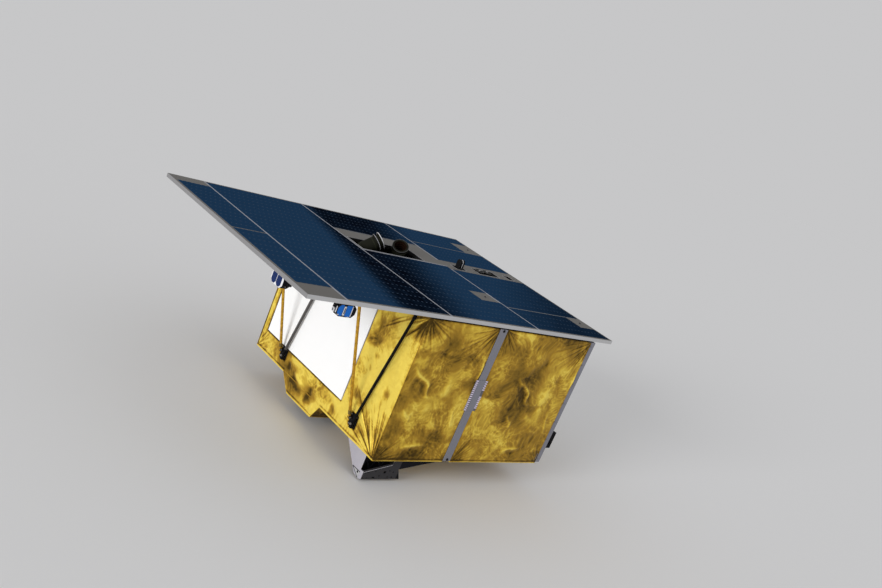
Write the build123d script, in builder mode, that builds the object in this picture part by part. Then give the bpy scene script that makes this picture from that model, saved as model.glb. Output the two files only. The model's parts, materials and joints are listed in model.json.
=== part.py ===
from build123d import *
import os

os.makedirs("parts", exist_ok=True)

# The satellite stands on its separation ring, whose lower face is Z = 0.
# +Z points up to the solar array, +X along the long side, away from the array's overhang.
# All lengths are millimetres.

# Box of honeycomb panels
box_l = 1810.0
box_w = 1810.0
box_h = 1139.0
core_t = 25.0
web_x = -180.0

# Blankets: soft foil quilts that lie on the panels
seat_gap = 0.3
quilt_t = 12.0

# Separation ring
ring_h = 227.0
ring_r = 472.6
ring_wall_t = 5.0
ring_foot_h = 6.0
ring_foot_w = 18.0
ring_top_r = 505.0
ring_top_t = 9.0

# Solar array
array_l = 3100.0
array_w = 2178.0
array_t = 30.0
array_overhang = 1070.0
array_near_lap = 4.7
standoff_h = 12.0
standoff_w = 60.0
cell_t = 1.6
cell_gap = 16.0
array_rim = 14.0

# Radiator on the overhang end
radiator_y0 = -350.0
radiator_y1 = 830.0
radiator_low = 171.0
quilt_slit = 6.0

# Bay of the star trackers, from the array's left and near edges, and the tray that lines it
bay_u = 1595.0
bay_v = 1337.0
bay_l = 654.0
bay_w = 244.0
tray_side = 40.0
tray_depth = 130.0
tray_wall = 3.0

# Telescope hood, its hatch and the dark well above it
hood_l = 388.0
hood_y = 110.0
hood_drop = 139.0
hood_mouth_w = 380.0
hood_top_w = 590.0
hood_top_shift = 35.0
hood_wall = 4.0
mouth_l = 304.0
mouth_w = 332.0
well_h = 230.0
well_wall = 4.0
hatch_lap = 10.0
hatch_t = 8.0
hatch_lift = 9.7
pin_r = 3.0
pin_play = 0.05
pin_short = 20.0
hinge_room = 1.0
knuckle_r = 6.0
knuckle_l = 40.0
knuckle_x = 100.0

# Struts between the end panel and the overhang
gold_strut_d = 22.0
gold_strut_y = 540.0
gold_foot_up = 133.0
gold_reach = 340.0
black_strut_d = 22.0
black_strut_dy = 50.0
black_foot_up = 105.0
black_lean = 196.0
strut_stand = 26.0
tongue_t = 8.0
tongue_r = 13.0
ear_t = 5.0
ear_gap = 0.3

# Derived places
box_x0 = -box_l / 2
box_x1 = box_l / 2
box_y0 = -box_w / 2
box_y1 = box_w / 2
box_z0 = ring_h
box_z1 = ring_h + box_h
quilt_out = seat_gap + quilt_t
array_z0 = box_z1 + standoff_h
array_z1 = array_z0 + array_t
array_x0 = box_x0 - quilt_out - array_overhang
array_x1 = array_x0 + array_l
array_y0 = box_y0 - quilt_out - array_near_lap
array_y1 = array_y0 + array_w


# Separation ring: foot flange with the clamp taper, cylindrical wall and top flange
ring_wall_r = ring_r - ring_foot_h - ring_wall_t / 2
with BuildPart() as adapter_ring:
    with BuildSketch(Plane.XZ):
        with BuildLine():
            Polyline(
                (ring_r - ring_foot_w, 0),
                (ring_r, 0),
                (ring_r, ring_foot_h / 2),
                (ring_wall_r, ring_foot_h * 2),
                (ring_wall_r, ring_h - ring_top_t),
                (ring_top_r, ring_h - ring_top_t),
                (ring_top_r, ring_h),
                (ring_wall_r - ring_wall_t, ring_h),
                (ring_wall_r - ring_wall_t, ring_foot_h * 3),
                close=True,
            )
        make_face()
    revolve(axis=Axis.Z)
adapter_ring.part.label = "adapter_ring"
export_step(adapter_ring.part, "parts/adapter_ring.step")

# Places of the hood and the well, used by the panels that are cut for them
end_face_x = box_x0 - quilt_out
hood_x1 = end_face_x + hood_l
hood_z0 = ring_h - hood_drop
well_x0 = box_x0 + core_t
well_x1 = hood_x1
well_in_x0 = well_x0 + well_wall
well_in_x1 = well_x1 - well_wall
well_in_w = hood_mouth_w + 2 * well_wall
well_z0 = box_z0 + core_t
well_z1 = well_z0 + well_h
aperture_l = well_in_x1 - well_in_x0
aperture_x = (well_in_x0 + well_in_x1) / 2

# Bottom panel with the telescope's aperture
with BuildPart() as bottom_panel:
    with BuildSketch(Plane.XY.offset(box_z0)):
        Rectangle(box_l, box_w)
        with Locations((aperture_x, hood_y)):
            Rectangle(aperture_l, well_in_w, mode=Mode.SUBTRACT)
    extrude(amount=core_t)
bottom_panel.part.label = "bottom_panel"
export_step(bottom_panel.part, "parts/bottom_panel.step")

# Top panel, cut for the tray of the star trackers
bay_x = array_x0 + bay_u
bay_y = array_y0 + bay_v
tray_l = bay_l + 2 * tray_side
tray_w = bay_w + 2 * tray_side
with BuildPart() as top_panel:
    with BuildSketch(Plane.XY.offset(box_z1 - core_t)):
        Rectangle(box_l, box_w)
        with Locations((bay_x, bay_y)):
            Rectangle(tray_l, tray_w, mode=Mode.SUBTRACT)
    extrude(amount=core_t)
top_panel.part.label = "top_panel"
export_step(top_panel.part, "parts/top_panel.step")

# Upright panels: name, middle X, middle Y, length along X, length along Y
inner_h = box_h - 2 * core_t
upright_panels = [
    ("front_panel", 0, box_y0 + core_t / 2, box_l, core_t),
    ("rear_panel", 0, box_y1 - core_t / 2, box_l, core_t),
    ("left_panel", box_x0 + core_t / 2, 0, core_t, box_w - 2 * core_t),
    ("right_panel", box_x1 - core_t / 2, 0, core_t, box_w - 2 * core_t),
    ("mid_web", web_x, 0, core_t, box_w - 2 * core_t),
]
for panel_name, panel_x, panel_y, panel_dx, panel_dy in upright_panels:
    with BuildPart() as upright_panel:
        with BuildSketch(Plane.XY.offset(box_z0 + core_t)):
            with Locations((panel_x, panel_y)):
                Rectangle(panel_dx, panel_dy)
        extrude(amount=inner_h)
        with BuildSketch(Plane.XY.offset(box_z1 - tray_depth - seat_gap)):
            with Locations((bay_x, bay_y)):
                Rectangle(tray_l + 2 * seat_gap, tray_w + 2 * seat_gap)
        extrude(amount=tray_depth, mode=Mode.SUBTRACT)
    upright_panel.part.label = panel_name
    export_step(upright_panel.part, f"parts/{panel_name}.step")

# Radiator plate, face to face with the left panel
radiator_z0 = box_z0 + radiator_low
with BuildPart() as radiator:
    with BuildSketch(Plane.YZ.offset(box_x0 - quilt_out)):
        with Locations(((radiator_y0 + radiator_y1) / 2, (radiator_z0 + box_z1) / 2)):
            Rectangle(radiator_y1 - radiator_y0, box_z1 - radiator_z0)
    extrude(amount=quilt_out)
radiator.part.label = "radiator"
export_step(radiator.part, "parts/radiator.step")

# Telescope hood: a tapered box with a lip round its mouth, open to the well above
hood_top_y0 = hood_y + hood_top_shift - hood_top_w / 2
hood_top_y1 = hood_y + hood_top_shift + hood_top_w / 2
mouth_x = (well_in_x0 + well_in_x1) / 2
hatch_l = mouth_l + 2 * hatch_lap
hatch_y0 = hood_y - mouth_w / 2 - hatch_lap
hatch_y1 = hood_y + mouth_w / 2 + hatch_lap
hatch_z0 = hood_z0 + hood_wall + seat_gap
pin_y = hatch_y0 + hinge_room
pin_z = hatch_z0 + hatch_t + hatch_lift
pin_l = hatch_l - pin_short
ear_x = pin_l / 2 - ear_t / 2
with BuildPart() as hood:
    with BuildSketch(Plane.YZ.offset(end_face_x)):
        with BuildLine():
            Polyline(
                (hood_y - hood_mouth_w / 2, hood_z0),
                (hood_y + hood_mouth_w / 2, hood_z0),
                (hood_top_y1, ring_h),
                (hood_top_y0, ring_h),
                close=True,
            )
        make_face()
    extrude(amount=hood_l)
    with BuildSketch(Plane.YZ.offset(end_face_x + hood_wall)):
        with BuildLine():
            Polyline(
                (hood_y - hood_mouth_w / 2 + hood_wall, hood_z0 + hood_wall),
                (hood_y + hood_mouth_w / 2 - hood_wall, hood_z0 + hood_wall),
                (hood_top_y1 - hood_wall, ring_h),
                (hood_top_y0 + hood_wall, ring_h),
                close=True,
            )
        make_face()
    extrude(amount=hood_l - 2 * hood_wall, mode=Mode.SUBTRACT)
    with BuildSketch(Plane.XY.offset(hood_z0)):
        with Locations((mouth_x, hood_y)):
            Rectangle(mouth_l, mouth_w)
    extrude(amount=hood_wall, mode=Mode.SUBTRACT)
hood.part.label = "hood"
export_step(hood.part, "parts/hood.step")

# Hinge brackets and pin of the hatch, standing on the hood's lip
ear_y0 = hood_y - hood_mouth_w / 2 + hood_wall + seat_gap
with BuildPart() as hatch_hinge:
    for side in (-1, 1):
        with BuildSketch(Plane.YZ.offset(mouth_x + side * ear_x - ear_t / 2)):
            with BuildLine():
                Polyline(
                    (ear_y0, hood_z0 + hood_wall),
                    (hatch_y0 - hinge_room, hood_z0 + hood_wall),
                    (hatch_y0 - hinge_room, pin_z - knuckle_r),
                    (pin_y + knuckle_r, pin_z - knuckle_r),
                    (pin_y + knuckle_r, pin_z + knuckle_r),
                    (ear_y0, pin_z + knuckle_r),
                    close=True,
                )
            make_face()
        extrude(amount=ear_t)
    with BuildSketch(Plane.YZ.offset(mouth_x - pin_l / 2)):
        with Locations((pin_y, pin_z)):
            Circle(pin_r)
    extrude(amount=pin_l)
hatch_hinge.part.label = "hatch_hinge"
export_step(hatch_hinge.part, "parts/hatch_hinge.step")

# Hatch: a plate with two stiffening ribs and two knuckles that turn on the pin
with BuildPart() as hatch:
    with BuildSketch(Plane.XY.offset(hatch_z0)):
        with Locations((mouth_x, (hatch_y0 + hinge_room + hatch_y1) / 2)):
            Rectangle(hatch_l, hatch_y1 - hatch_y0 - hinge_room)
    extrude(amount=hatch_t)
    for side in (-1, 1):
        with BuildSketch(Plane.YZ.offset(mouth_x + side * knuckle_x - knuckle_l / 2)):
            with Locations((pin_y, pin_z)):
                Circle(knuckle_r)
            with Locations((pin_y + knuckle_r / 2 + hinge_room, pin_z - hatch_lift / 2)):
                Rectangle(knuckle_r, hatch_lift)
        extrude(amount=knuckle_l)
    with BuildSketch(Plane.YZ.offset(mouth_x - hatch_l / 2)):
        with Locations((pin_y, pin_z)):
            Circle(pin_r + pin_play)
    extrude(amount=hatch_l, mode=Mode.SUBTRACT)
hatch.part.label = "hatch"
export_step(hatch.part, "parts/hatch.step")

# Dark well that the telescope looks through
with BuildPart() as telescope_well:
    with BuildSketch(Plane.XY.offset(well_z0)):
        with Locations((aperture_x, hood_y)):
            Rectangle(aperture_l + 2 * well_wall, well_in_w + 2 * well_wall)
            Rectangle(aperture_l, well_in_w, mode=Mode.SUBTRACT)
    extrude(amount=well_h)
telescope_well.part.label = "telescope_well"
export_step(telescope_well.part, "parts/telescope_well.step")

# Instrument, a plain block that closes the well
instrument_l = 420.0
instrument_w = 760.0
instrument_h = 560.0
with BuildPart() as instrument:
    with BuildSketch(Plane.XY.offset(well_z1)):
        with Locations((well_x0 + instrument_l / 2, hood_y)):
            Rectangle(instrument_l, instrument_w)
    extrude(amount=instrument_h)
instrument.part.label = "instrument"
export_step(instrument.part, "parts/instrument.step")

# Front and rear trim: mid strip with its wider plate, and an angle on each right-hand corner
strip_w = 74.0
strip_t = 15.0
strip_plate_w = 120.0
strip_plate_t = 4.0
strip_plate_z0 = 451.0
strip_plate_h = 260.0
angle_w = 78.0
angle_t = 14.0
web_side_names = [("front", -1), ("rear", 1)]
for side_name, side in web_side_names:
    strip_y0 = side * box_w / 2
    with BuildPart() as mid_strip:
        with BuildSketch(Plane.XY.offset(box_z0)):
            with Locations((web_x, strip_y0 + side * strip_t / 2)):
                Rectangle(strip_w, strip_t)
        extrude(amount=box_h)
        with BuildSketch(Plane.XY.offset(box_z0 + strip_plate_z0)):
            with Locations((web_x, strip_y0 + side * (strip_t + strip_plate_t / 2))):
                Rectangle(strip_plate_w, strip_plate_t)
        extrude(amount=strip_plate_h)
    mid_strip.part.label = f"mid_strip_{side_name}"
    export_step(mid_strip.part, f"parts/mid_strip_{side_name}.step")

    with BuildPart() as corner_angle:
        with BuildSketch(Plane.XY.offset(box_z0)):
            with BuildLine():
                Polyline(
                    (box_x1 - angle_w + quilt_out, strip_y0),
                    (box_x1, strip_y0),
                    (box_x1, strip_y0 - side * angle_w),
                    (box_x1 + quilt_out, strip_y0 - side * angle_w),
                    (box_x1 + quilt_out, strip_y0 + side * angle_t),
                    (box_x1 - angle_w + quilt_out, strip_y0 + side * angle_t),
                    close=True,
                )
            make_face()
        extrude(amount=box_h)
    corner_angle.part.label = f"corner_angle_{side_name}"
    export_step(corner_angle.part, f"parts/corner_angle_{side_name}.step")

# Quilts on the front and rear: name, lower X, upper X
quilt_bays = [
    ("left", box_x0 - quilt_out, web_x - strip_w / 2 - seat_gap),
    ("right", web_x + strip_w / 2 + seat_gap, box_x1 - angle_w + quilt_out - seat_gap),
]
quilt_z0 = box_z0 - quilt_out
quilt_h = box_z1 - quilt_z0
for side_name, side in web_side_names:
    for bay_name, bay_x0, bay_x1 in quilt_bays:
        with BuildPart() as bay_quilt:
            with BuildSketch(Plane.XY.offset(quilt_z0)):
                with Locations(((bay_x0 + bay_x1) / 2, side * (box_w / 2 + seat_gap + quilt_t / 2))):
                    Rectangle(bay_x1 - bay_x0, quilt_t)
            extrude(amount=quilt_h)
        bay_quilt.part.label = f"quilt_{side_name}_{bay_name}"
        export_step(bay_quilt.part, f"parts/quilt_{side_name}_{bay_name}.step")

# Foot brackets of the struts stand on the left panel; each carries one gold and one black strut
foot_plate_w = 84.0
foot_plate_h = 102.0
foot_plate_proud = 4.0
foot_plate_corner = 10.0
foot_cut_room = 1.0
strut_x = end_face_x - strut_stand
gold_foot_z = box_z0 + gold_foot_up
black_foot_z = box_z0 + black_foot_up
foot_plate_z = (gold_foot_z + black_foot_z) / 2
strut_pairs = [("near", -gold_strut_y), ("far", gold_strut_y)]

# Quilt round the radiator on the left end
with BuildPart() as quilt_end:
    with BuildSketch(Plane.YZ.offset(end_face_x)):
        with Locations((0, (quilt_z0 + box_z1) / 2)):
            Rectangle(box_w, quilt_h)
        with Locations(((radiator_y0 + radiator_y1) / 2, (radiator_z0 + box_z1) / 2)):
            Rectangle(
                radiator_y1 - radiator_y0 + 2 * quilt_slit,
                box_z1 - radiator_z0 + 2 * quilt_slit,
                mode=Mode.SUBTRACT,
            )
        with Locations((hood_y + hood_top_shift, box_z0 - quilt_out / 2)):
            Rectangle(hood_top_w + 2 * seat_gap, quilt_out + 2 * seat_gap, mode=Mode.SUBTRACT)
        for pair_name, pair_y in strut_pairs:
            with Locations((pair_y - black_strut_dy / 2, foot_plate_z)):
                Rectangle(
                    foot_plate_w + 2 * foot_cut_room,
                    foot_plate_h + 2 * foot_cut_room,
                    mode=Mode.SUBTRACT,
                )
    extrude(amount=quilt_t)
quilt_end.part.label = "quilt_end"
export_step(quilt_end.part, "parts/quilt_end.step")

# Sensor box on the right end, seated on the front corner's angle
side_box_w = 72.0
side_box_z0 = box_z0 + 130.0
side_box_h = 150.0
side_box_d = 85.0
side_box_corner = 12.0
with BuildPart() as side_box:
    with BuildSketch(Plane.YZ.offset(box_x1 + quilt_out)):
        with Locations((box_y0 + angle_w / 2, side_box_z0 + side_box_h / 2)):
            Rectangle(side_box_w, side_box_h)
    extrude(amount=side_box_d)
    chamfer(faces().sort_by(Axis.X)[-1].edges(), side_box_corner)
side_box.part.label = "side_box"
export_step(side_box.part, "parts/side_box.step")

# Quilt on the right end
with BuildPart() as quilt_right:
    with BuildSketch(Plane.YZ.offset(box_x1 + seat_gap)):
        with Locations((0, (quilt_z0 + box_z1) / 2)):
            Rectangle(box_w - 2 * angle_w - 2 * seat_gap, quilt_h)
    extrude(amount=quilt_t)
quilt_right.part.label = "quilt_right"
export_step(quilt_right.part, "parts/quilt_right.step")

# Quilt under the box, round the separation ring and the hood
with BuildPart() as quilt_bottom:
    with BuildSketch(Plane.XY.offset(quilt_z0)):
        Rectangle(box_l, box_w)
        Circle(ring_top_r + seat_gap, mode=Mode.SUBTRACT)
        with Locations(((box_x0 + hood_x1) / 2, hood_y + hood_top_shift)):
            Rectangle(hood_x1 - box_x0 + 2 * seat_gap, hood_top_w + 2 * seat_gap, mode=Mode.SUBTRACT)
    extrude(amount=quilt_t)
quilt_bottom.part.label = "quilt_bottom"
export_step(quilt_bottom.part, "parts/quilt_bottom.step")

# Struts: name, foot, head, rod diameter, direction across the two tongues
head_drop = 30.0
head_plate_t = 6.0
head_plate_w = 84.0
head_plate_corner = 8.0
head_z = array_z0 - head_drop
black_near_y = -gold_strut_y - black_strut_dy
black_far_y = gold_strut_y - black_strut_dy
struts = [
    (
        "gold_strut_near",
        Vector(strut_x, -gold_strut_y, gold_foot_z),
        Vector(strut_x - gold_reach, -gold_strut_y, head_z),
        gold_strut_d,
        Vector(0, 1, 0),
    ),
    (
        "gold_strut_far",
        Vector(strut_x, gold_strut_y, gold_foot_z),
        Vector(strut_x - gold_reach, gold_strut_y, head_z),
        gold_strut_d,
        Vector(0, 1, 0),
    ),
    (
        "black_strut_near",
        Vector(strut_x, black_near_y, black_foot_z),
        Vector(strut_x, black_near_y - black_lean, head_z),
        black_strut_d,
        Vector(1, 0, 0),
    ),
    (
        "black_strut_far",
        Vector(strut_x, black_far_y, black_foot_z),
        Vector(strut_x, black_far_y - black_lean, head_z),
        black_strut_d,
        Vector(1, 0, 0),
    ),
]
tongue_l = 2.4 * tongue_r
for strut_name, foot, head, rod_d, across in struts:
    along = (head - foot).normalized()
    strut_l = (head - foot).length
    with BuildPart() as strut:
        for end, way in ((foot, 1), (head, -1)):
            with BuildSketch(Plane(origin=end - across * tongue_t / 2, x_dir=along * way, z_dir=across)):
                Circle(tongue_r)
                with Locations((tongue_l / 2, 0)):
                    Rectangle(tongue_l, 1.5 * tongue_r)
            extrude(amount=tongue_t)
        with BuildSketch(Plane(origin=foot + along * (tongue_l - tongue_r / 2), z_dir=along)):
            Circle(rod_d / 2)
        extrude(amount=strut_l - 2 * tongue_l + tongue_r)
    strut.part.label = strut_name
    export_step(strut.part, f"parts/{strut_name}.step")

# Foot brackets: a boss through the quilt, a fork for the gold strut and a fork for the black one
boss_x = end_face_x - foot_plate_proud
fork_half = tongue_t / 2 + ear_gap
fork_base_t = 14.0
for pair_name, pair_y in strut_pairs:
    with BuildPart() as strut_foot:
        with BuildSketch(Plane.YZ.offset(boss_x)):
            with Locations((pair_y - black_strut_dy / 2, foot_plate_z)):
                Rectangle(foot_plate_w, foot_plate_h)
            chamfer(vertices(), foot_plate_corner)
        extrude(amount=box_x0 - boss_x)
        for side in (-1, 1):
            ear_mid = pair_y + side * (fork_half + ear_t / 2)
            with BuildSketch(Plane.XZ.offset(-ear_mid - ear_t / 2)):
                with Locations((strut_x, gold_foot_z)):
                    Circle(tongue_r)
                with Locations(((strut_x + boss_x) / 2, gold_foot_z)):
                    Rectangle(boss_x - strut_x, 2 * tongue_r)
            extrude(amount=ear_t)
            ear_mid = strut_x + side * (fork_half + ear_t / 2)
            with BuildSketch(Plane.YZ.offset(ear_mid - ear_t / 2)):
                with Locations((pair_y - black_strut_dy, black_foot_z)):
                    Circle(tongue_r)
                with Locations((pair_y - black_strut_dy, black_foot_z - tongue_r)):
                    Rectangle(2 * tongue_r, 2 * tongue_r)
            extrude(amount=ear_t)
        with BuildSketch(Plane.XY.offset(black_foot_z - 2 * tongue_r - fork_base_t / 2)):
            with Locations(((strut_x - fork_half - ear_t + boss_x) / 2, pair_y - black_strut_dy)):
                Rectangle(boss_x - strut_x + fork_half + ear_t, 2 * tongue_r)
        extrude(amount=fork_base_t)
    strut_foot.part.label = f"strut_foot_{pair_name}"
    export_step(strut_foot.part, f"parts/strut_foot_{pair_name}.step")

# Head forks hang from the array's underside: name, middle of the eye, direction across the ears
head_forks = [
    ("strut_head_gold_near", struts[0][2], Vector(0, 1, 0)),
    ("strut_head_gold_far", struts[1][2], Vector(0, 1, 0)),
    ("strut_head_black_near", struts[2][2], Vector(1, 0, 0)),
    ("strut_head_black_far", struts[3][2], Vector(1, 0, 0)),
]
for fork_name, centre, across in head_forks:
    fork_side = Vector(0, 0, 1).cross(across)
    with BuildPart() as strut_head:
        with BuildSketch(
            Plane(origin=(centre.X, centre.Y, array_z0 - head_plate_t), x_dir=fork_side, z_dir=(0, 0, 1))
        ):
            Rectangle(head_plate_w, head_plate_w / 2)
            chamfer(vertices(), head_plate_corner)
        extrude(amount=head_plate_t)
        for side in (-1, 1):
            ear_start = centre + across * (side * (fork_half + ear_t / 2) - ear_t / 2)
            with BuildSketch(Plane(origin=ear_start, x_dir=fork_side, z_dir=across)):
                Circle(tongue_r)
                with Locations((0, (head_drop - head_plate_t) / 2 * across.cross(fork_side).Z)):
                    Rectangle(2 * tongue_r, head_drop - head_plate_t)
            extrude(amount=ear_t)
    strut_head.part.label = fork_name
    export_step(strut_head.part, f"parts/{fork_name}.step")

# Openings in the array: name, middle along X from the array's left edge, middle along Y from
# its near edge, length along X, length along Y
array_slots = [
    ("tracker_bay", bay_u, bay_v, bay_l, bay_w),
    ("post_slot", 2325.0, 1214.0, 110.0, 96.0),
    ("antenna_slot", 2666.0, 1221.0, 252.0, 120.0),
    ("end_slot", 2956.0, 1207.0, 72.0, 90.0),
]
with BuildPart() as array_panel:
    with BuildSketch(Plane.XY.offset(array_z0)):
        with Locations(((array_x0 + array_x1) / 2, (array_y0 + array_y1) / 2)):
            Rectangle(array_l, array_w)
        for slot_name, slot_u, slot_v, slot_du, slot_dv in array_slots:
            with Locations((array_x0 + slot_u, array_y0 + slot_v)):
                Rectangle(slot_du, slot_dv, mode=Mode.SUBTRACT)
    extrude(amount=array_t)
array_panel.part.label = "array_panel"
export_step(array_panel.part, "parts/array_panel.step")

# Solar cells: lower X, upper X, lower Y, upper Y, from the array's left and near edges
column_a = 310.0
column_b = 1240.0
column_c = 2170.0
cell_fields = [
    (array_rim, column_a, 180.0, 1100.0),
    (array_rim, column_a, 1100.0, 2050.0),
    (column_a, column_b, array_rim, array_w - array_rim),
    (column_b, column_c, array_rim, 1195.0),
    (column_b, column_c, 1645.0, array_w - array_rim),
    (column_c, array_l - array_rim, array_rim, 400.0),
    (column_c, array_l - array_rim, 400.0, 1140.0),
    (column_c, array_l - array_rim, 1330.0, 1750.0),
    (column_c, array_l - array_rim, 1750.0, array_w - array_rim),
]
# Bare patches at the fixing points, in the same columns
bare_patches = [
    (1955.0, 2180.0, 475.0, 635.0),
    (2900.0, 3100.0, 200.0, 410.0),
    (2880.0, 3100.0, 1780.0, 2000.0),
]
with BuildPart() as solar_cells:
    with BuildSketch(Plane.XY.offset(array_z1)):
        for cell_u0, cell_u1, cell_v0, cell_v1 in cell_fields:
            with Locations((array_x0 + (cell_u0 + cell_u1) / 2, array_y0 + (cell_v0 + cell_v1) / 2)):
                Rectangle(cell_u1 - cell_u0 - cell_gap, cell_v1 - cell_v0 - cell_gap)
        for bare_u0, bare_u1, bare_v0, bare_v1 in bare_patches:
            with Locations((array_x0 + (bare_u0 + bare_u1) / 2, array_y0 + (bare_v0 + bare_v1) / 2)):
                Rectangle(bare_u1 - bare_u0, bare_v1 - bare_v0, mode=Mode.SUBTRACT)
    extrude(amount=cell_t)
solar_cells.part.label = "solar_cells"
export_step(solar_cells.part, "parts/solar_cells.step")

# Standoffs that carry the array on the top panel
standoff_in = 90.0
with BuildPart() as standoffs:
    with BuildSketch(Plane.XY.offset(box_z1)):
        with GridLocations(box_l / 2 - standoff_in, box_w / 2 - standoff_in, 3, 3):
            Rectangle(standoff_w, standoff_w)
    extrude(amount=standoff_h)
standoffs.part.label = "standoffs"
export_step(standoffs.part, "parts/standoffs.step")

# Sensor heads under the overhang: name, middle of the foot on the array, way the face looks
head_w = 150.0
head_h = 88.0
head_d = 70.0
head_corner = 24.0
head_inset = 14.0
head_end_u = 48.0
head_end_v = 425.0
head_near_u = 352.0
head_near_v = 25.0
window_w = 42.0
window_h = 66.0
window_pitch = 60.0
window_t = 3.0
foot_w = 70.0
foot_d = 24.0
foot_h = 8.0
sensor_heads = [
    (
        "sensor_head_end",
        Vector(array_x0 + head_end_u, array_y0 + head_end_v, array_z0),
        Vector(-1, 0, 0),
    ),
    (
        "sensor_head_near",
        Vector(array_x0 + head_near_u, array_y0 + head_near_v, array_z0),
        Vector(0, -1, 0),
    ),
]
for head_name, head_top, facing in sensor_heads:
    face_side = Vector(0, 0, 1).cross(facing)
    face_mid = head_top - Vector(0, 0, foot_h + head_h / 2)
    with BuildPart() as sensor_head:
        with BuildSketch(Plane(origin=face_mid, x_dir=face_side, z_dir=facing * -1)):
            Rectangle(head_w, head_h)
            chamfer(vertices(), head_corner)
        extrude(amount=head_d)
        chamfer(faces().sort_by(Axis(face_mid, facing * -1))[-1].edges(), head_inset)
        with BuildSketch(Plane(origin=face_mid, x_dir=face_side, z_dir=facing * -1)):
            with GridLocations(window_pitch, 0, 2, 1):
                Rectangle(window_w, window_h)
        extrude(amount=window_t, mode=Mode.SUBTRACT)
        with BuildSketch(
            Plane(origin=head_top - facing * (head_d / 2), x_dir=face_side, z_dir=(0, 0, -1))
        ):
            Rectangle(foot_w, foot_d)
        extrude(amount=foot_h)
    sensor_head.part.label = head_name
    export_step(sensor_head.part, f"parts/{head_name}.step")

# Tray that lines the bay of the star trackers, flush with the top panel
tray_z0 = box_z1 - tray_depth
with BuildPart() as tracker_tray:
    with BuildSketch(Plane.XY.offset(tray_z0)):
        with Locations((bay_x, bay_y)):
            Rectangle(tray_l, tray_w)
    extrude(amount=tray_depth)
    with BuildSketch(Plane.XY.offset(tray_z0 + tray_wall)):
        with Locations((bay_x, bay_y)):
            Rectangle(tray_l - 2 * tray_wall, tray_w - 2 * tray_wall)
    extrude(amount=tray_depth - tray_wall, mode=Mode.SUBTRACT)
tracker_tray.part.label = "tracker_tray"
export_step(tracker_tray.part, "parts/tracker_tray.step")

# Star trackers, each a tube with two stiffening rings at its mouth: name, middle of the mouth,
# way the mouth looks
tracker_r = 56.0
tracker_l = 194.0
tracker_depth = 120.0
tracker_wall = 3.0
tracker_ring_r = 69.0
tracker_ring_t = 4.0
tracker_ring_pitch = 36.0
cradle_l = 60.0
cradle_w = 90.0
floor_z = tray_z0 + tray_wall
trackers = [
    ("left", Vector(bay_x - 78.0, bay_y + 14.0, array_z1 + 58.0), Vector(0.74, -0.18, 0.65)),
    ("right", Vector(bay_x + 138.0, bay_y + 8.0, array_z1 + 48.0), Vector(-0.42, -0.42, 0.80)),
]
for tracker_name, mouth, looking in trackers:
    tracker_axis = looking.normalized()
    tracker_side = Vector(0, 0, 1).cross(tracker_axis).normalized()
    tracker_plane = Plane(origin=mouth, x_dir=tracker_side, z_dir=tracker_side.cross(tracker_axis))
    with BuildPart() as tracker:
        with BuildSketch(tracker_plane):
            with BuildLine():
                Polyline(
                    (tracker_r - tracker_wall, 0),
                    (tracker_ring_r, 0),
                    (tracker_ring_r, -tracker_ring_t),
                    (tracker_r, -tracker_ring_t),
                    (tracker_r, -tracker_ring_pitch),
                    (tracker_ring_r, -tracker_ring_pitch),
                    (tracker_ring_r, -tracker_ring_pitch - tracker_ring_t),
                    (tracker_r, -tracker_ring_pitch - tracker_ring_t),
                    (tracker_r, -tracker_l),
                    (0, -tracker_l),
                    (0, -tracker_depth),
                    (tracker_r - tracker_wall, -tracker_depth),
                    close=True,
                )
            make_face()
        revolve(axis=Axis(mouth, tracker_axis))
    tracker.part.label = f"tracker_{tracker_name}"
    export_step(tracker.part, f"parts/tracker_{tracker_name}.step")

    body_mid = mouth - tracker_axis * ((tracker_depth + tracker_l) / 2)
    with BuildPart() as cradle:
        with BuildSketch(Plane(origin=(body_mid.X, body_mid.Y, floor_z), x_dir=tracker_side)):
            Rectangle(cradle_w, cradle_l)
        extrude(amount=body_mid.Z - floor_z)
        with BuildSketch(Plane(origin=mouth, z_dir=tracker_axis * -1)):
            Circle(tracker_r + seat_gap)
        extrude(amount=tracker_l + seat_gap, mode=Mode.SUBTRACT)
    cradle.part.label = f"tracker_cradle_{tracker_name}"
    export_step(cradle.part, f"parts/tracker_cradle_{tracker_name}.step")

# Sun sensor post in the post slot: two upright plates with round tops on one base
post_w = 54.0
post_plate_t = 16.0
post_gap = 14.0
post_up = 78.0
post_base_up = 8.0
post_x = array_x0 + array_slots[1][1]
post_y = array_y0 + array_slots[1][2]
with BuildPart() as sensor_post:
    with BuildSketch(Plane.XY.offset(box_z1)):
        with Locations((post_x, post_y)):
            Rectangle(2 * post_plate_t + post_gap, post_w)
    extrude(amount=array_z1 + post_base_up - box_z1)
    for side in (-1, 1):
        plate_mid = post_x + side * (post_plate_t + post_gap) / 2
        with BuildSketch(Plane.YZ.offset(plate_mid - post_plate_t / 2)):
            with Locations((post_y, array_z1 + post_up - post_w / 2)):
                Circle(post_w / 2)
            with Locations((post_y, array_z1 + (post_up - post_w / 2) / 2)):
                Rectangle(post_w, post_up - post_w / 2)
        extrude(amount=post_plate_t)
sensor_post.part.label = "sensor_post"
export_step(sensor_post.part, "parts/sensor_post.step")

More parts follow.
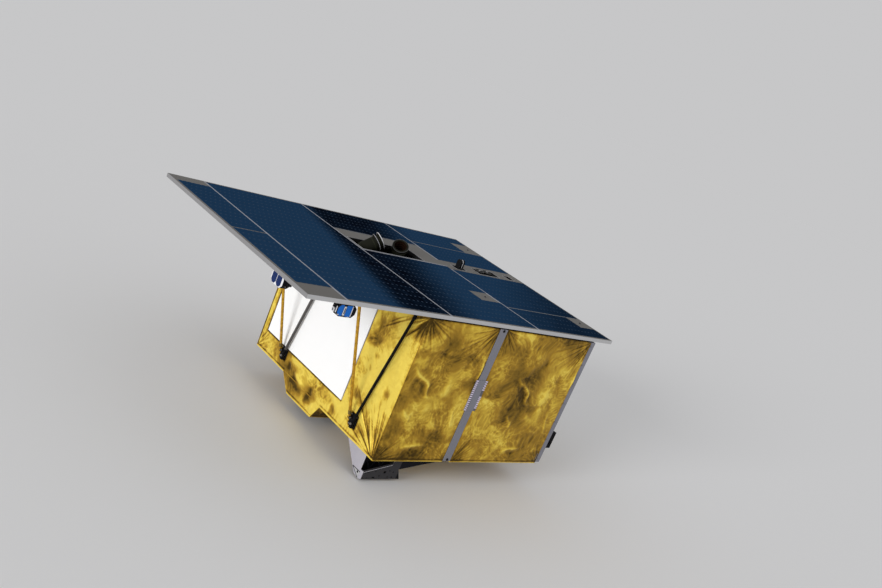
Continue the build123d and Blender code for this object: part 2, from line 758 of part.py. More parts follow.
# Two round antennas in the antenna slot, each with a raised middle
antenna_r = 41.0
antenna_step_w = 12.0
antenna_step_h = 5.0
antenna_up = 14.0
antenna_pitch = 92.0
antenna_shift = -36.0
antenna_y = array_y0 + array_slots[2][2]
antenna_h = array_z1 + antenna_up - box_z1
for antenna_name, antenna_side in (("left", -1), ("right", 1)):
    antenna_x = array_x0 + array_slots[2][1] + antenna_shift + antenna_side * antenna_pitch / 2
    with BuildPart() as antenna:
        with BuildSketch(Plane.XY.offset(box_z1)):
            with Locations((antenna_x, antenna_y)):
                Circle(antenna_r)
        extrude(amount=antenna_h - antenna_step_h)
        with BuildSketch(Plane.XY.offset(box_z1 + antenna_h - antenna_step_h)):
            with Locations((antenna_x, antenna_y)):
                Circle(antenna_r - antenna_step_w)
        extrude(amount=antenna_step_h)
    antenna.part.label = f"antenna_{antenna_name}"
    export_step(antenna.part, f"parts/antenna_{antenna_name}.step")

# Corner foot bracket under the near left corner: a side plate, a front plate that runs on as a
# long web, a flange along the front plate's sloping edge, and a lattice plate behind
bracket_x0 = box_x0 + 4.0
bracket_y0 = box_y0 + 49.0
bracket_drop = 194.0
bracket_t = 4.0
bracket_top_z = box_z0 - quilt_out - seat_gap
bracket_low_z = bracket_top_z - bracket_drop
front_l = 376.0
front_cut = 40.0
front_cut_h = 85.0
web_slope = 0.2
flange_l = 252.0
flange_h0 = 65.0
flange_h1 = 130.0
flange_w = 12.0
flange_end_x = 300.0
side_l = 300.0
side_foot_l = 92.0
side_toe_y = 30.0
side_toe_drop = 10.0
side_arm_y = 36.0
side_hole_y = 56.0
side_hole_h = 30.0
side_hole_r = 7.0
lattice_y = 70.0
lattice_l = 330.0
lattice_h0 = 12.0
lattice_slope = 0.2
lattice_band = 84.0
lattice_count = 3
lattice_pitch = 100.0
lattice_rib = 12.0
# Cut-outs of the front plate: middle X from the corner, middle above the lower edge, width, height
front_cutouts = [
    (18.0, 12.0, 9.0, 9.0),
    (58.0, 12.0, 9.0, 9.0),
    (118.0, 14.0, 28.0, 13.0),
    (296.0, 16.0, 12.0, 14.0),
    (27.0, 54.0, 10.0, 8.0),
    (58.0, 58.0, 12.0, 8.0),
    (121.0, 64.0, 9.0, 9.0),
    (212.0, 60.0, 26.0, 20.0),
    (294.0, 60.0, 12.0, 14.0),
]
with BuildPart() as corner_bracket:
    with BuildSketch(Plane.XZ.offset(-bracket_y0 - bracket_t)):
        with BuildLine():
            Polyline(
                (bracket_x0, bracket_low_z),
                (bracket_x0 + front_l, bracket_low_z),
                (bracket_x0 + front_l - front_cut, bracket_low_z + front_cut_h),
                (
                    bracket_x0 + front_l - front_cut + (bracket_drop - front_cut_h) / web_slope,
                    bracket_top_z,
                ),
                (bracket_x0 + flange_end_x, bracket_top_z),
                (bracket_x0 + flange_l, bracket_low_z + flange_h1),
                (bracket_x0, bracket_low_z + flange_h0),
                close=True,
            )
        make_face()
        for cut_x, cut_h, cut_l, cut_w in front_cutouts:
            with Locations((bracket_x0 + cut_x, bracket_low_z + cut_h)):
                Rectangle(cut_l, cut_w, mode=Mode.SUBTRACT)
    extrude(amount=bracket_t)
    with BuildSketch(Plane.XZ.offset(-bracket_y0 - flange_w)):
        with BuildLine():
            Polyline(
                (bracket_x0, bracket_low_z + flange_h0 - bracket_t),
                (bracket_x0 + flange_l, bracket_low_z + flange_h1 - bracket_t),
                (bracket_x0 + flange_l, bracket_low_z + flange_h1),
                (bracket_x0, bracket_low_z + flange_h0),
                close=True,
            )
        make_face()
    extrude(amount=flange_w)
    with BuildSketch(Plane.YZ.offset(bracket_x0)):
        with BuildLine():
            Polyline(
                (bracket_y0, bracket_low_z),
                (bracket_y0 + side_toe_y, bracket_low_z - side_toe_drop),
                (bracket_y0 + side_foot_l, bracket_low_z),
                (bracket_y0 + side_l, bracket_top_z),
                (bracket_y0 + side_arm_y, bracket_top_z),
                (bracket_y0 + side_arm_y, bracket_low_z + flange_h0),
                (bracket_y0, bracket_low_z + flange_h0),
                close=True,
            )
        make_face()
        with Locations((bracket_y0 + side_hole_y, bracket_low_z + side_hole_h)):
            Circle(side_hole_r, mode=Mode.SUBTRACT)
    extrude(amount=bracket_t)
    with BuildSketch(Plane.XZ.offset(-bracket_y0 - lattice_y - bracket_t)):
        with BuildLine():
            Polyline(
                (bracket_x0, bracket_low_z + lattice_h0),
                (bracket_x0 + lattice_l, bracket_low_z + lattice_h0 + lattice_slope * lattice_l),
                (bracket_x0 + lattice_l, bracket_top_z),
                (bracket_x0, bracket_top_z),
                close=True,
            )
        make_face()
        for lattice_step in range(lattice_count):
            lattice_u = lattice_rib + lattice_step * lattice_pitch
            lattice_x = bracket_x0 + lattice_u
            lattice_z = bracket_low_z + lattice_h0 + lattice_rib + lattice_slope * lattice_u
            next_z = lattice_z + lattice_slope * lattice_pitch
            with BuildLine():
                Polyline(
                    (lattice_x, lattice_z),
                    (lattice_x + lattice_pitch - lattice_rib, next_z),
                    (lattice_x + lattice_pitch / 2, lattice_z + lattice_band),
                    close=True,
                )
            make_face(mode=Mode.SUBTRACT)
            if lattice_step < lattice_count - 1:
                with BuildLine():
                    Polyline(
                        (lattice_x + lattice_pitch / 2 + lattice_rib, lattice_z + lattice_band),
                        (lattice_x + lattice_pitch, next_z + lattice_rib),
                        (lattice_x + 1.5 * lattice_pitch - lattice_rib, next_z + lattice_band),
                        close=True,
                    )
                make_face(mode=Mode.SUBTRACT)
    extrude(amount=bracket_t)
corner_bracket.part.label = "corner_bracket"
export_step(corner_bracket.part, "parts/corner_bracket.step")
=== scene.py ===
"""Looks of an earth observation satellite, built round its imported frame, in metres."""

import json
import logging
import math
from collections.abc import Iterable, Sequence
from dataclasses import dataclass
from enum import Enum
from functools import cache

import bpy
import numpy as np
from mathutils import Matrix, Vector


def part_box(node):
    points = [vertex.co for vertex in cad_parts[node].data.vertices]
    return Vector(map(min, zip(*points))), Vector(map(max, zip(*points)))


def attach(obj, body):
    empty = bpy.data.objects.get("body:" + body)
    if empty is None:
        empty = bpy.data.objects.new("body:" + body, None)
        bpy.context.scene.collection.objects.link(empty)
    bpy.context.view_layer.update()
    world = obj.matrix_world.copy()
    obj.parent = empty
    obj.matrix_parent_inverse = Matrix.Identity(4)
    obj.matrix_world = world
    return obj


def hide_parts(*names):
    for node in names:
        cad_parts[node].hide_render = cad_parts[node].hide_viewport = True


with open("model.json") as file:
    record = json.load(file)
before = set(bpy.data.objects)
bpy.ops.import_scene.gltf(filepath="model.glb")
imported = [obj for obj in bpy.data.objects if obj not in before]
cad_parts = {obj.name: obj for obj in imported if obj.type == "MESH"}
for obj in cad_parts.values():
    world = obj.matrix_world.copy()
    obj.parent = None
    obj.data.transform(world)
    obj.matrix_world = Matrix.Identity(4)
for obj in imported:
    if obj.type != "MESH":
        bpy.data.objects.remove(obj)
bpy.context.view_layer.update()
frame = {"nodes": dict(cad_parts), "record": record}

LOG = logging.getLogger("satellite")
BUS, HATCH = "bus", "hatch"
MM = 0.001
LEFT, RIGHT = Vector((-1.0, 0.0, 0.0)), Vector((1.0, 0.0, 0.0))
FRONT, REAR = Vector((0.0, -1.0, 0.0)), Vector((0.0, 1.0, 0.0))
DOWN, UP = Vector((0.0, 0.0, -1.0)), Vector((0.0, 0.0, 1.0))

Colour = tuple[float, float, float]
Point = tuple[float, float]
Socket = bpy.types.NodeSocket
Outputs = bpy.types.bpy_prop_collection
Values = dict[str | int, object]
Piece = bpy.types.Object
Grid = np.ndarray


class Slot(Enum):
    """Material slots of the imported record."""

    GOLD_FOIL = "gold_foil"
    GOLD_WRAP = "gold_wrap"
    CARBON_BLACK = "carbon_black"
    BLACK_FITTING = "black_fitting"
    BARE_METAL = "bare_metal"
    BAFFLE_BLACK = "baffle_black"
    INNER_BLACK = "inner_black"
    INSTRUMENT_BLOCK = "instrument_block"
    SENSOR_HOUSING = "sensor_housing"
    ANTENNA_BLACK = "antenna_black"
    ARRAY_GREY = "array_grey"
    CELL_BLUE = "cell_blue"
    RADIATOR_WHITE = "radiator_white"
    TRIM_GREY = "trim_grey"
    BRACKET_GREY = "bracket_grey"
    RING_ALLOY = "ring_alloy"
    PANEL_SKIN = "panel_skin"


def shaded(colour: Colour, share: float) -> Colour:
    """A colour made darker or lighter by a share of itself."""
    return tuple(min(1.0, part * share) for part in colour)


class NodeBoard:
    """A node tree with short calls that add nodes and join their sockets."""

    def __init__(self, tree: bpy.types.NodeTree) -> None:
        """Keeps the tree that the calls work on."""
        self.tree = tree

    def feed(self, node: bpy.types.Node, values: Values) -> None:
        """Fills inputs of a node.

        Args:
            node: the node.
            values: an output, a number, a vector or a colour for each input.
        """
        for label, value in values.items():
            socket = node.inputs[label]
            if isinstance(value, Socket):
                self.tree.links.new(value, socket)
            else:
                socket.default_value = (*value, 1.0) if socket.type == "RGBA" else value

    def add(self, kind: str, values: Values | None = None, **settings: object) -> bpy.types.Node:
        """Adds one node.

        Args:
            kind: type of the node.
            values: what its inputs get.
            settings: attributes of the node to set.

        Returns:
            The new node.
        """
        node = self.tree.nodes.new(kind)
        for name, value in settings.items():
            setattr(node, name, value)
        self.feed(node, values or {})
        return node

    def place(self) -> Socket:
        """Gives the object's own coordinates."""
        return self.add("ShaderNodeTexCoord").outputs["Object"]

    def attribute(self, name: str) -> Socket:
        """Gives a value that the mesh holds."""
        return self.add("ShaderNodeAttribute", attribute_name=name).outputs["Fac"]

    def parts(self, vector: Socket) -> Outputs:
        """Splits a vector into X, Y and Z."""
        return self.add("ShaderNodeSeparateXYZ", {0: vector}).outputs

    def noise(self, where: Socket, scale: object, detail: float, rough: float) -> Outputs:
        """Adds a noise texture, with its features per metre, number of finer layers and their weight."""
        values = {"Vector": where, "Scale": scale, "Detail": detail, "Roughness": rough}
        return self.add("ShaderNodeTexNoise", values).outputs

    def vector(self, operation: str, values: Values) -> Outputs:
        """Adds a vector math node."""
        return self.add("ShaderNodeVectorMath", values, operation=operation).outputs

    def math(self, operation: str, first: object, second: object = 0.0, clamp: bool = False) -> Socket:
        """Adds a math node on two outputs or numbers; a clamp keeps its result from 0 to 1."""
        values = {0: first, 1: second}
        return self.add("ShaderNodeMath", values, operation=operation, use_clamp=clamp).outputs[0]

    def line(self, value: Socket, slope: float, start: object, clamp: bool = False) -> Socket:
        """Gives a start and a value's share of it, added up."""
        return self.math("ADD", self.math("MULTIPLY", value, slope), start, clamp)

    def mix(self, share: Socket, first: object, second: object) -> Socket:
        """Mixes two colours, the first where the share is 0."""
        values = {"Factor": share, "A": first, "B": second}
        return self.add("ShaderNodeMix", values, data_type="RGBA").outputs["Result"]

    def ramp(self, value: Socket, *stops: tuple[float, Colour]) -> Socket:
        """Turns a value into a colour.

        Args:
            value: output from 0 to 1.
            stops: place and colour of each stop.

        Returns:
            The colour output.
        """
        node = self.add("ShaderNodeValToRGB", {"Fac": value})
        elements = node.color_ramp.elements
        while len(elements) < len(stops):
            elements.new(0.5)
        for element, (place, colour) in zip(elements, stops):
            element.position, element.color = place, (*colour, 1.0)
        return node.outputs["Color"]

    def bump(self, height: Socket, strength: float, depth: float) -> Socket:
        """Adds a bump node, whose depth in metres is that of a height of 1."""
        values = {"Strength": strength, "Distance": depth, "Height": height}
        return self.add("ShaderNodeBump", values).outputs["Normal"]

    def effect(self, tree: bpy.types.NodeTree, **values: float) -> Outputs:
        """Places a shared effect with values for its inputs."""
        return self.add("ShaderNodeGroup", values, node_tree=tree).outputs


def start_effect(name: str, inputs: dict[str, float],
                 outputs: Sequence[str]) -> tuple[NodeBoard, Outputs, bpy.types.Node]:
    """Starts the node group of a shared effect.

    Args:
        name: name of the group.
        inputs: names and default values of its inputs.
        outputs: names of its outputs, all of them values.

    Returns:
        The group's board, the outputs of its input node, and its output node.
    """
    tree = bpy.data.node_groups.new(name, "ShaderNodeTree")
    for label, value in inputs.items():
        tree.interface.new_socket(label, in_out="INPUT", socket_type="NodeSocketFloat").default_value = value
    for label in outputs:
        tree.interface.new_socket(label, in_out="OUTPUT", socket_type="NodeSocketFloat")
    board = NodeBoard(tree)
    return board, board.add("NodeGroupInput").outputs, board.add("NodeGroupOutput")


@cache
def crinkle() -> bpy.types.NodeTree:
    """Builds the small sharp creases of thin film, once.

    Returns:
        A group that gives a height, and a tone that paints shade into the creases.
    """
    board, given, result = start_effect("crinkle", {"Scale": 14.0, "Warp": 0.03}, ("Height", "Tone"))
    place = board.place()
    drift = board.noise(place, 7.0, 2.0, 0.5)["Color"]
    centred = board.vector("SUBTRACT", {0: drift, 1: (0.5, 0.5, 0.5)})[0]
    drifted = board.vector("SCALE", {0: centred, "Scale": given["Warp"]})[0]
    moved = board.vector("ADD", {0: place, 1: drifted})[0]
    heights = []
    for factor in (1.0, 2.6):
        values = {"Vector": moved, "Scale": board.math("MULTIPLY", given["Scale"], factor)}
        cells = board.add("ShaderNodeTexVoronoi", values, feature="DISTANCE_TO_EDGE")
        heights.append(board.math("MULTIPLY", cells.outputs["Distance"], 1.6 / factor, clamp=True))
    height = board.line(board.noise(moved, 40.0, 3.0, 0.55)["Fac"], 0.35, board.math("ADD", *heights))
    # Tone follows the height: painted shade, darker along the creases and lighter on the raised cells between
    # them.
    board.feed(result, {"Height": height, "Tone": board.math("MULTIPLY", height, 0.62, clamp=True)})
    return board.tree


@cache
def grain() -> bpy.types.NodeTree:
    """Builds the fine unevenness of paint and anodising, once.

    Returns:
        A group that gives a height, a tone and large faint blotches.
    """
    board, given, result = start_effect("grain", {"Fine": 900.0, "Wide": 3.0}, ("Height", "Tone", "Blotch"))
    place = board.place()
    fine = board.noise(place, given["Fine"], 2.0, 0.5)["Fac"]
    wide = board.noise(place, given["Wide"], 4.0, 0.6)["Fac"]
    tone = board.line(fine, 0.3, board.math("MULTIPLY", wide, 0.7))
    board.feed(result, {"Height": fine, "Tone": tone, "Blotch": wide})
    return board.tree


@cache
def worn_edge() -> bpy.types.NodeTree:
    """Builds the mask of rubbed outer edges, once.

    Returns:
        A group that gives a mask from 0 to 1.
    """
    board, given, result = start_effect("worn_edge", {"Radius": 0.002, "Gain": 3.0}, ("Mask",))
    rounded = board.add("ShaderNodeBevel", {"Radius": given["Radius"]}, samples=4).outputs["Normal"]
    flat = board.add("ShaderNodeNewGeometry").outputs["Normal"]
    alike = board.vector("DOT_PRODUCT", {0: rounded, 1: flat})["Value"]
    strength = board.math("MULTIPLY", board.math("SUBTRACT", 1.0, alike), given["Gain"])
    patchy = board.noise(board.place(), 60.0, 2.0, 0.6)["Fac"]
    board.feed(result, {"Mask": board.math("MULTIPLY", strength, patchy, clamp=True)})
    return board.tree


@dataclass(frozen=True)
class Finish:
    """What all finishes share: a name, a main colour and the shader's plain values."""

    name: str
    colour: Colour
    metallic: float = 0.0
    roughness: float = 0.5
    specular: float = 0.5

    def make(self) -> bpy.types.Material:
        """Builds the material.

        Returns:
            The new material.
        """
        material = bpy.data.materials.new(self.name)
        material.use_nodes = True
        material.node_tree.nodes.clear()
        board = NodeBoard(material.node_tree)
        values = {"Base Color": self.colour, "Metallic": self.metallic, "Roughness": self.roughness,
                  "Specular IOR Level": self.specular}
        shader = board.add("ShaderNodeBsdfPrincipled", values)
        board.feed(shader, self.dress(board))
        board.add("ShaderNodeOutputMaterial", {"Surface": self.surface(board, shader.outputs["BSDF"])})
        return material

    def dress(self, board: NodeBoard) -> dict[str, Socket]:
        """Gives the outputs that drive the shader, by the names of its inputs."""
        return {}

    def surface(self, board: NodeBoard, shaded_side: Socket) -> Socket:
        """Gives the shader that the surface shows."""
        return shaded_side


@dataclass(frozen=True)
class FoilFinish(Finish):
    """Crumpled gold film. Where the mesh holds its own folds, light and shade are painted into its colour:
    ridges painted lighter than hollows, with painted highlights and painted shadow lines.
    """

    # Ramp colours: with folds, dark stands for painted shade and light for painted highlight; without them
    # they vary at random.
    dark: Colour = (0.072, 0.042, 0.007)
    warm: Colour = (0.76, 0.520, 0.064)
    light: Colour = (1.0, 0.785, 0.138)
    has_folds: bool = True
    patch_scale: float = 5.0
    crinkle_scale: float = 13.0
    crinkle_depth: float = 0.0016

    def dress(self, board: NodeBoard) -> dict[str, Socket]:
        """Builds the film's tone, gloss and creases.

        Args:
            board: the material's node board.

        Returns:
            The outputs that drive the shader.
        """
        creases = board.effect(crinkle(), Scale=self.crinkle_scale, Warp=0.05)
        if self.has_folds:
            tone = board.attribute("fold_painted_shading")
        else:
            tone = board.noise(board.place(), self.patch_scale, 3.0, 0.5)["Fac"]
        # Painted light and shade from the folds and the creases, turned into colour by the ramp.
        shade = board.line(tone, 0.85, board.math("MULTIPLY", creases["Tone"], 0.16), clamp=True)
        stops = (0.04, self.dark), (0.50, self.colour), (0.73, self.warm), (0.96, self.light)
        return {"Base Color": board.ramp(shade, *stops),
                "Roughness": board.line(creases["Tone"], 0.14, self.roughness),
                "Normal": board.bump(creases["Height"], 0.4, self.crinkle_depth)}


@dataclass(frozen=True)
class PaintFinish(Finish):
    """Paint or anodising with a fine grain, faint blotches and rubbed edges."""

    worn: Colour = (0.6, 0.6, 0.6)
    wear: float = 0.0
    grain_depth: float = 0.00008
    spread: float = 0.12

    def dress(self, board: NodeBoard) -> dict[str, Socket]:
        """Builds the paint's tone, gloss and grain.

        Args:
            board: the material's node board.

        Returns:
            The outputs that drive the shader.
        """
        coat = board.effect(grain(), Fine=700.0, Wide=3.5)
        low, high = shaded(self.colour, 1.0 - self.spread), shaded(self.colour, 1.0 + self.spread)
        tint = board.ramp(coat["Tone"], (0.3, low), (0.7, high))
        if self.wear > 0.0:
            rubbed = board.effect(worn_edge(), Radius=0.0025, Gain=self.wear)["Mask"]
            tint = board.mix(rubbed, tint, self.worn)
        return {"Base Color": tint, "Roughness": board.line(coat["Blotch"], 0.16, self.roughness - 0.08),
                "Normal": board.bump(coat["Height"], 0.35, self.grain_depth)}


@dataclass(frozen=True)
class ArrayFinish(PaintFinish):
    """Grey substrate of the array: light on its outer edges, darker on its faces. Its slot walls are painted
    black as shade, and its edges facing along X are painted darker as shade.
    """

    face: Colour = (0.15, 0.142, 0.132)
    # Painted shade: the end edges are painted darker than the other outer edges, and slot is the black of the
    # walls inside the slots.
    painted_end_shade: Colour = (0.235, 0.232, 0.236)
    slot: Colour = (0.014, 0.014, 0.014)
    border: float = 0.003

    def dress(self, board: NodeBoard) -> dict[str, Socket]:
        """Builds the substrate's tones, gloss and grain.

        Args:
            board: the material's node board.

        Returns:
            The outputs that drive the shader.
        """
        coat = board.effect(grain(), Fine=500.0, Wide=2.0)
        normal = board.parts(board.add("ShaderNodeNewGeometry").outputs["True Normal"])
        level, on_end = (board.math("GREATER_THAN", board.math("ABSOLUTE", normal[axis]), 0.5)
                         for axis in "ZX")
        edge = board.ramp(coat["Tone"], (0.3, shaded(self.colour, 0.93)), (0.7, self.colour))
        # Slot walls get painted black shade; outer walls facing along X get the darker painted end shade.
        walls = board.mix(self.outer(board), self.slot, board.mix(on_end, edge, self.painted_end_shade))
        broad = board.ramp(coat["Tone"], (0.3, shaded(self.face, 0.8)), (0.75, self.face))
        return {"Base Color": board.mix(level, walls, broad),
                "Roughness": board.line(coat["Blotch"], 0.16, self.roughness - 0.08),
                "Normal": board.bump(coat["Height"], 0.3, self.grain_depth)}

    def outer(self, board: NodeBoard) -> Socket:
        """Finds where the surface lies on the array's outer border.

        Args:
            board: the material's node board.

        Returns:
            A mask that is 1 on the border.
        """
        low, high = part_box("array_panel")
        place, masks = board.parts(board.place()), []
        for axis, start, end in (("X", low.x, high.x), ("Y", low.y, high.y)):
            away = board.math("ABSOLUTE", board.math("SUBTRACT", place[axis], (start + end) / 2))
            masks.append(board.math("GREATER_THAN", away, (end - start) / 2 - self.border))
        return board.math("MAXIMUM", *masks)


@dataclass(frozen=True)
class BracketFinish(PaintFinish):
    """Foot bracket with painted light and shade: pale side plate painted as the lit side, dark front plate
    with its walls painted as the shaded side, painted darker shade behind the lattice and along its web.
    """

    # Painted shade: front darkens the front plate and its walls as the shaded side, rear darkens the parts
    # behind the lattice and past the web; the pale colour stands for the lit side plate.
    front: Colour = (0.050, 0.048, 0.052)
    rear: Colour = (0.010, 0.010, 0.013)
    web_start: float = -0.560
    lattice_start: float = -0.800
    side_end: float = -0.8968

    def dress(self, board: NodeBoard) -> dict[str, Socket]:
        """Builds the bracket's tones and grain.

        Args:
            board: the material's node board.

        Returns:
            The outputs that drive the shader.
        """
        coat = board.effect(grain(), Fine=700.0, Wide=9.0)
        place = board.parts(board.place())
        past_web, behind, broad = (
            board.math("GREATER_THAN", place[axis], start)
            for axis, start in (("X", self.web_start), ("Y", self.lattice_start), ("X", self.side_end)))
        # Painted shade on the front plate, darker still behind the lattice and past the web.
        tint = board.mix(board.math("MAXIMUM", past_web, behind), self.front, self.rear)
        pale = board.ramp(coat["Tone"], (0.3, shaded(self.colour, 0.85)), (0.7, self.colour))
        return {"Base Color": board.mix(broad, pale, tint),
                "Normal": board.bump(coat["Height"], 0.3, self.grain_depth)}


@dataclass(frozen=True)
class MetalFinish(Finish):
    """Machined or turned metal with fine tool marks along one axis."""

    marks: tuple[float, float, float] = (40.0, 900.0, 900.0)

    def dress(self, board: NodeBoard) -> dict[str, Socket]:
        """Builds the metal's tone, gloss and tool marks.

        Args:
            board: the material's node board.

        Returns:
            The outputs that drive the shader.
        """
        stretch = board.add("ShaderNodeMapping", {"Scale": self.marks, "Vector": board.place()})
        streaks = board.noise(stretch.outputs["Vector"], 1.0, 2.0, 0.5)["Fac"]
        blotch = board.effect(grain(), Fine=300.0, Wide=6.0)["Blotch"]
        both = board.line(streaks, 0.5, board.math("MULTIPLY", blotch, 0.5))
        return {"Base Color": board.ramp(both, (0.3, shaded(self.colour, 0.78)), (0.7, self.colour)),
                "Roughness": board.line(both, 0.3, self.roughness - 0.15),
                "Normal": board.bump(streaks, 0.25, 0.0001)}


@dataclass(frozen=True)
class WeaveFinish(Finish):
    """Carbon fibre cloth under clear resin."""

    strand: float = 0.003

    def dress(self, board: NodeBoard) -> dict[str, Socket]:
        """Builds the cloth's tone, gloss and weave.

        Args:
            board: the material's node board.

        Returns:
            The outputs that drive the shader.
        """
        values = {"Scale": 1.0 / self.strand, "Color1": (0.0, 0.0, 0.0), "Color2": (1.0, 1.0, 1.0),
                  "Vector": board.place()}
        cloth = board.add("ShaderNodeTexChecker", values).outputs["Fac"]
        return {"Base Color": board.ramp(cloth, (0.0, self.colour), (1.0, shaded(self.colour, 1.9))),
                "Roughness": board.line(cloth, 0.12, self.roughness),
                "Normal": board.bump(cloth, 0.2, 0.0002)}


@dataclass(frozen=True)
class CellFinish(Finish):
    """Dark blue solar cells under thin cover glass, each cell a little different, lightened in broad bands of
    painted reflection.
    """

    # light is the blue that the painted reflection bands reach.
    light: Colour = (0.0142, 0.046, 0.104)
    finger: Colour = (0.06, 0.08, 0.11)
    finger_pitch: float = 0.0022

    def dress(self, board: NodeBoard) -> dict[str, Socket]:
        """Builds the cells' tone, fingers and gloss.

        Args:
            board: the material's node board.

        Returns:
            The outputs that drive the shader.
        """
        place = board.place()
        cloudy = board.noise(place, 25.0, 2.0, 0.5)["Fac"]
        # The cells' tone attribute holds broad bands of painted reflection and each cell's own small
        # difference.
        shade = board.line(cloudy, 0.12, board.attribute("cell_tone_and_reflection"), clamp=True)
        deep = board.ramp(shade, (0.05, self.colour), (1.0, self.light))
        values = {"Scale": math.tau / 20.0 / self.finger_pitch, "Vector": place}
        lines = board.add("ShaderNodeTexWave", values, bands_direction="X", wave_profile="SIN").outputs["Fac"]
        on_finger = board.math("MULTIPLY", board.math("GREATER_THAN", lines, 0.94), 0.15)
        return {"Base Color": board.mix(on_finger, deep, self.finger),
                "Roughness": board.line(cloudy, 0.1, self.roughness),
                "Normal": board.bump(cloudy, 0.1, 0.0004)}


@dataclass(frozen=True)
class FloorFinish(Finish):
    """Pale floor that doesn't hide the object from a camera below it."""

    def surface(self, board: NodeBoard, shaded_side: Socket) -> Socket:
        """Makes the floor's lower side clear.

        Args:
            board: the material's node board.
            shaded_side: the shader of its upper side.

        Returns:
            The mixed shader.
        """
        below = board.add("ShaderNodeNewGeometry").outputs["Backfacing"]
        clear = board.add("ShaderNodeBsdfTransparent").outputs["BSDF"]
        return board.add("ShaderNodeMixShader", {"Fac": below, 1: shaded_side, 2: clear}).outputs["Shader"]


GOLD = FoilFinish("gold_foil", (0.46, 0.266, 0.031), 0.40, 0.32, 0.05)
FINISHES: dict[Slot, Finish] = {Slot(finish.name): finish for finish in (
    FoilFinish("gold_wrap", (0.54, 0.30, 0.032), 0.30, 0.36, 0.05, dark=(0.10, 0.04, 0.004),
               warm=(0.77, 0.46, 0.065), light=(1.0, 0.62, 0.10), has_folds=False, patch_scale=38.0,
               crinkle_scale=55.0, crinkle_depth=0.0006),
    WeaveFinish("carbon_black", (0.0045, 0.0045, 0.0050), 0.0, 0.45, 0.03),
    PaintFinish("black_fitting", (0.009, 0.009, 0.010), 0.0, 0.5, 0.03, worn=(0.10, 0.10, 0.10), wear=1.5),
    MetalFinish("bare_metal", (0.42, 0.41, 0.39), 1.0, 0.36),
    PaintFinish("baffle_black", (0.013, 0.0135, 0.0095), 0.0, 0.6, 0.03, worn=(0.12, 0.12, 0.10), wear=1.2),
    PaintFinish("inner_black", (0.004, 0.004, 0.004), 0.0, 0.8, 0.02),
    PaintFinish("instrument_block", (0.05, 0.05, 0.055), 0.0, 0.55, 0.4),
    PaintFinish("sensor_housing", (0.010, 0.010, 0.013), 0.0, 0.42, 0.04, worn=(0.30, 0.30, 0.33), wear=1.5),
    PaintFinish("antenna_black", (0.005, 0.005, 0.005), 0.0, 0.5, 0.02),
    ArrayFinish("array_grey", (0.52, 0.52, 0.53), 0.0, 0.5, 0.15),
    CellFinish("cell_blue", (0.0010, 0.0020, 0.0060), 0.0, 0.30, 0.0),
    PaintFinish("radiator_white", (0.93, 0.93, 0.93), 0.0, 0.6, 0.1, spread=0.01),
    PaintFinish("trim_grey", (0.225, 0.225, 0.262), 0.0, 0.45, 0.15, worn=(0.4, 0.4, 0.44), wear=1.0),
    BracketFinish("bracket_grey", (0.42, 0.405, 0.45), 0.0, 0.5, 0.05),
    MetalFinish("ring_alloy", (0.70, 0.69, 0.66), 1.0, 0.34, marks=(900.0, 900.0, 60.0)),
    PaintFinish("panel_skin", (0.045, 0.044, 0.042), 0.2, 0.55, 0.2),
)}
FINISHES[Slot.GOLD_FOIL] = FoilFinish("gold_foil_flat", GOLD.colour, 0.40, 0.32, 0.05, has_folds=False)
CARRIER = PaintFinish("cell_carrier", (0.060, 0.090, 0.140), 0.0, 0.5, 0.0, spread=0.05)
LINE = PaintFinish("field_line", (0.31, 0.32, 0.36), 0.0, 0.5, 0.15, spread=0.05)
THIN_LINE = PaintFinish("thin_line", (0.17, 0.18, 0.20), 0.0, 0.5, 0.15, spread=0.05)
FIXING = PaintFinish("fixing_steel", (0.22, 0.21, 0.20), 0.6, 0.42, 0.3, spread=0.1)
# Painted light: the bright metal of the lit tracker lip.
PAINTED_LIT_METAL = PaintFinish("painted_lit_metal", (0.70, 0.70, 0.72), 0.5, 0.35, 0.4, spread=0.06)
# Painted light: the grey that the far black strut gets where it stands lit.
PAINTED_LIGHT_GREY = PaintFinish("painted_light_grey", (0.085, 0.078, 0.075), 0.0, 0.5, 0.1, spread=0.15)
COLLARS = {
    "gold": PaintFinish("gold_collar", (0.16, 0.11, 0.03), 0.3, 0.45, 0.1, worn=(0.45, 0.36, 0.18), wear=1.5),
    "black": PaintFinish("black_collar", (0.008, 0.008, 0.009), 0.0, 0.5, 0.03),
}
WHITE_TRIM = PaintFinish("white_trim", (0.78, 0.78, 0.80), 0.0, 0.5, 0.2, spread=0.03)
GREY_INLAY = PaintFinish("grey_inlay", (0.12, 0.12, 0.14), 0.0, 0.5, 0.2, spread=0.1)
PANE_BLUE = PaintFinish("pane_blue", (0.010, 0.155, 0.62), 0.0, 0.30, 0.15, spread=0.08, grain_depth=0.00002)
PANE_DARK = PaintFinish("pane_dark", (0.003, 0.019, 0.100), 0.0, 0.25, 0.15, spread=0.10, grain_depth=0.00002)
TAB_LIGHT = PaintFinish("tab_light", (0.74, 0.66, 0.84), 0.0, 0.45, 0.2, spread=0.06)
FRAME_LIGHT = PaintFinish("frame_light", (0.34, 0.34, 0.36), 0.0, 0.5, 0.15, spread=0.06)
RIM_GREY = PaintFinish("rim_grey", (0.075, 0.075, 0.075), 0.2, 0.45, 0.2, spread=0.3)
LAVENDER = PaintFinish("lavender_grey", (0.40, 0.40, 0.41), 0.0, 0.5, 0.15, spread=0.06)
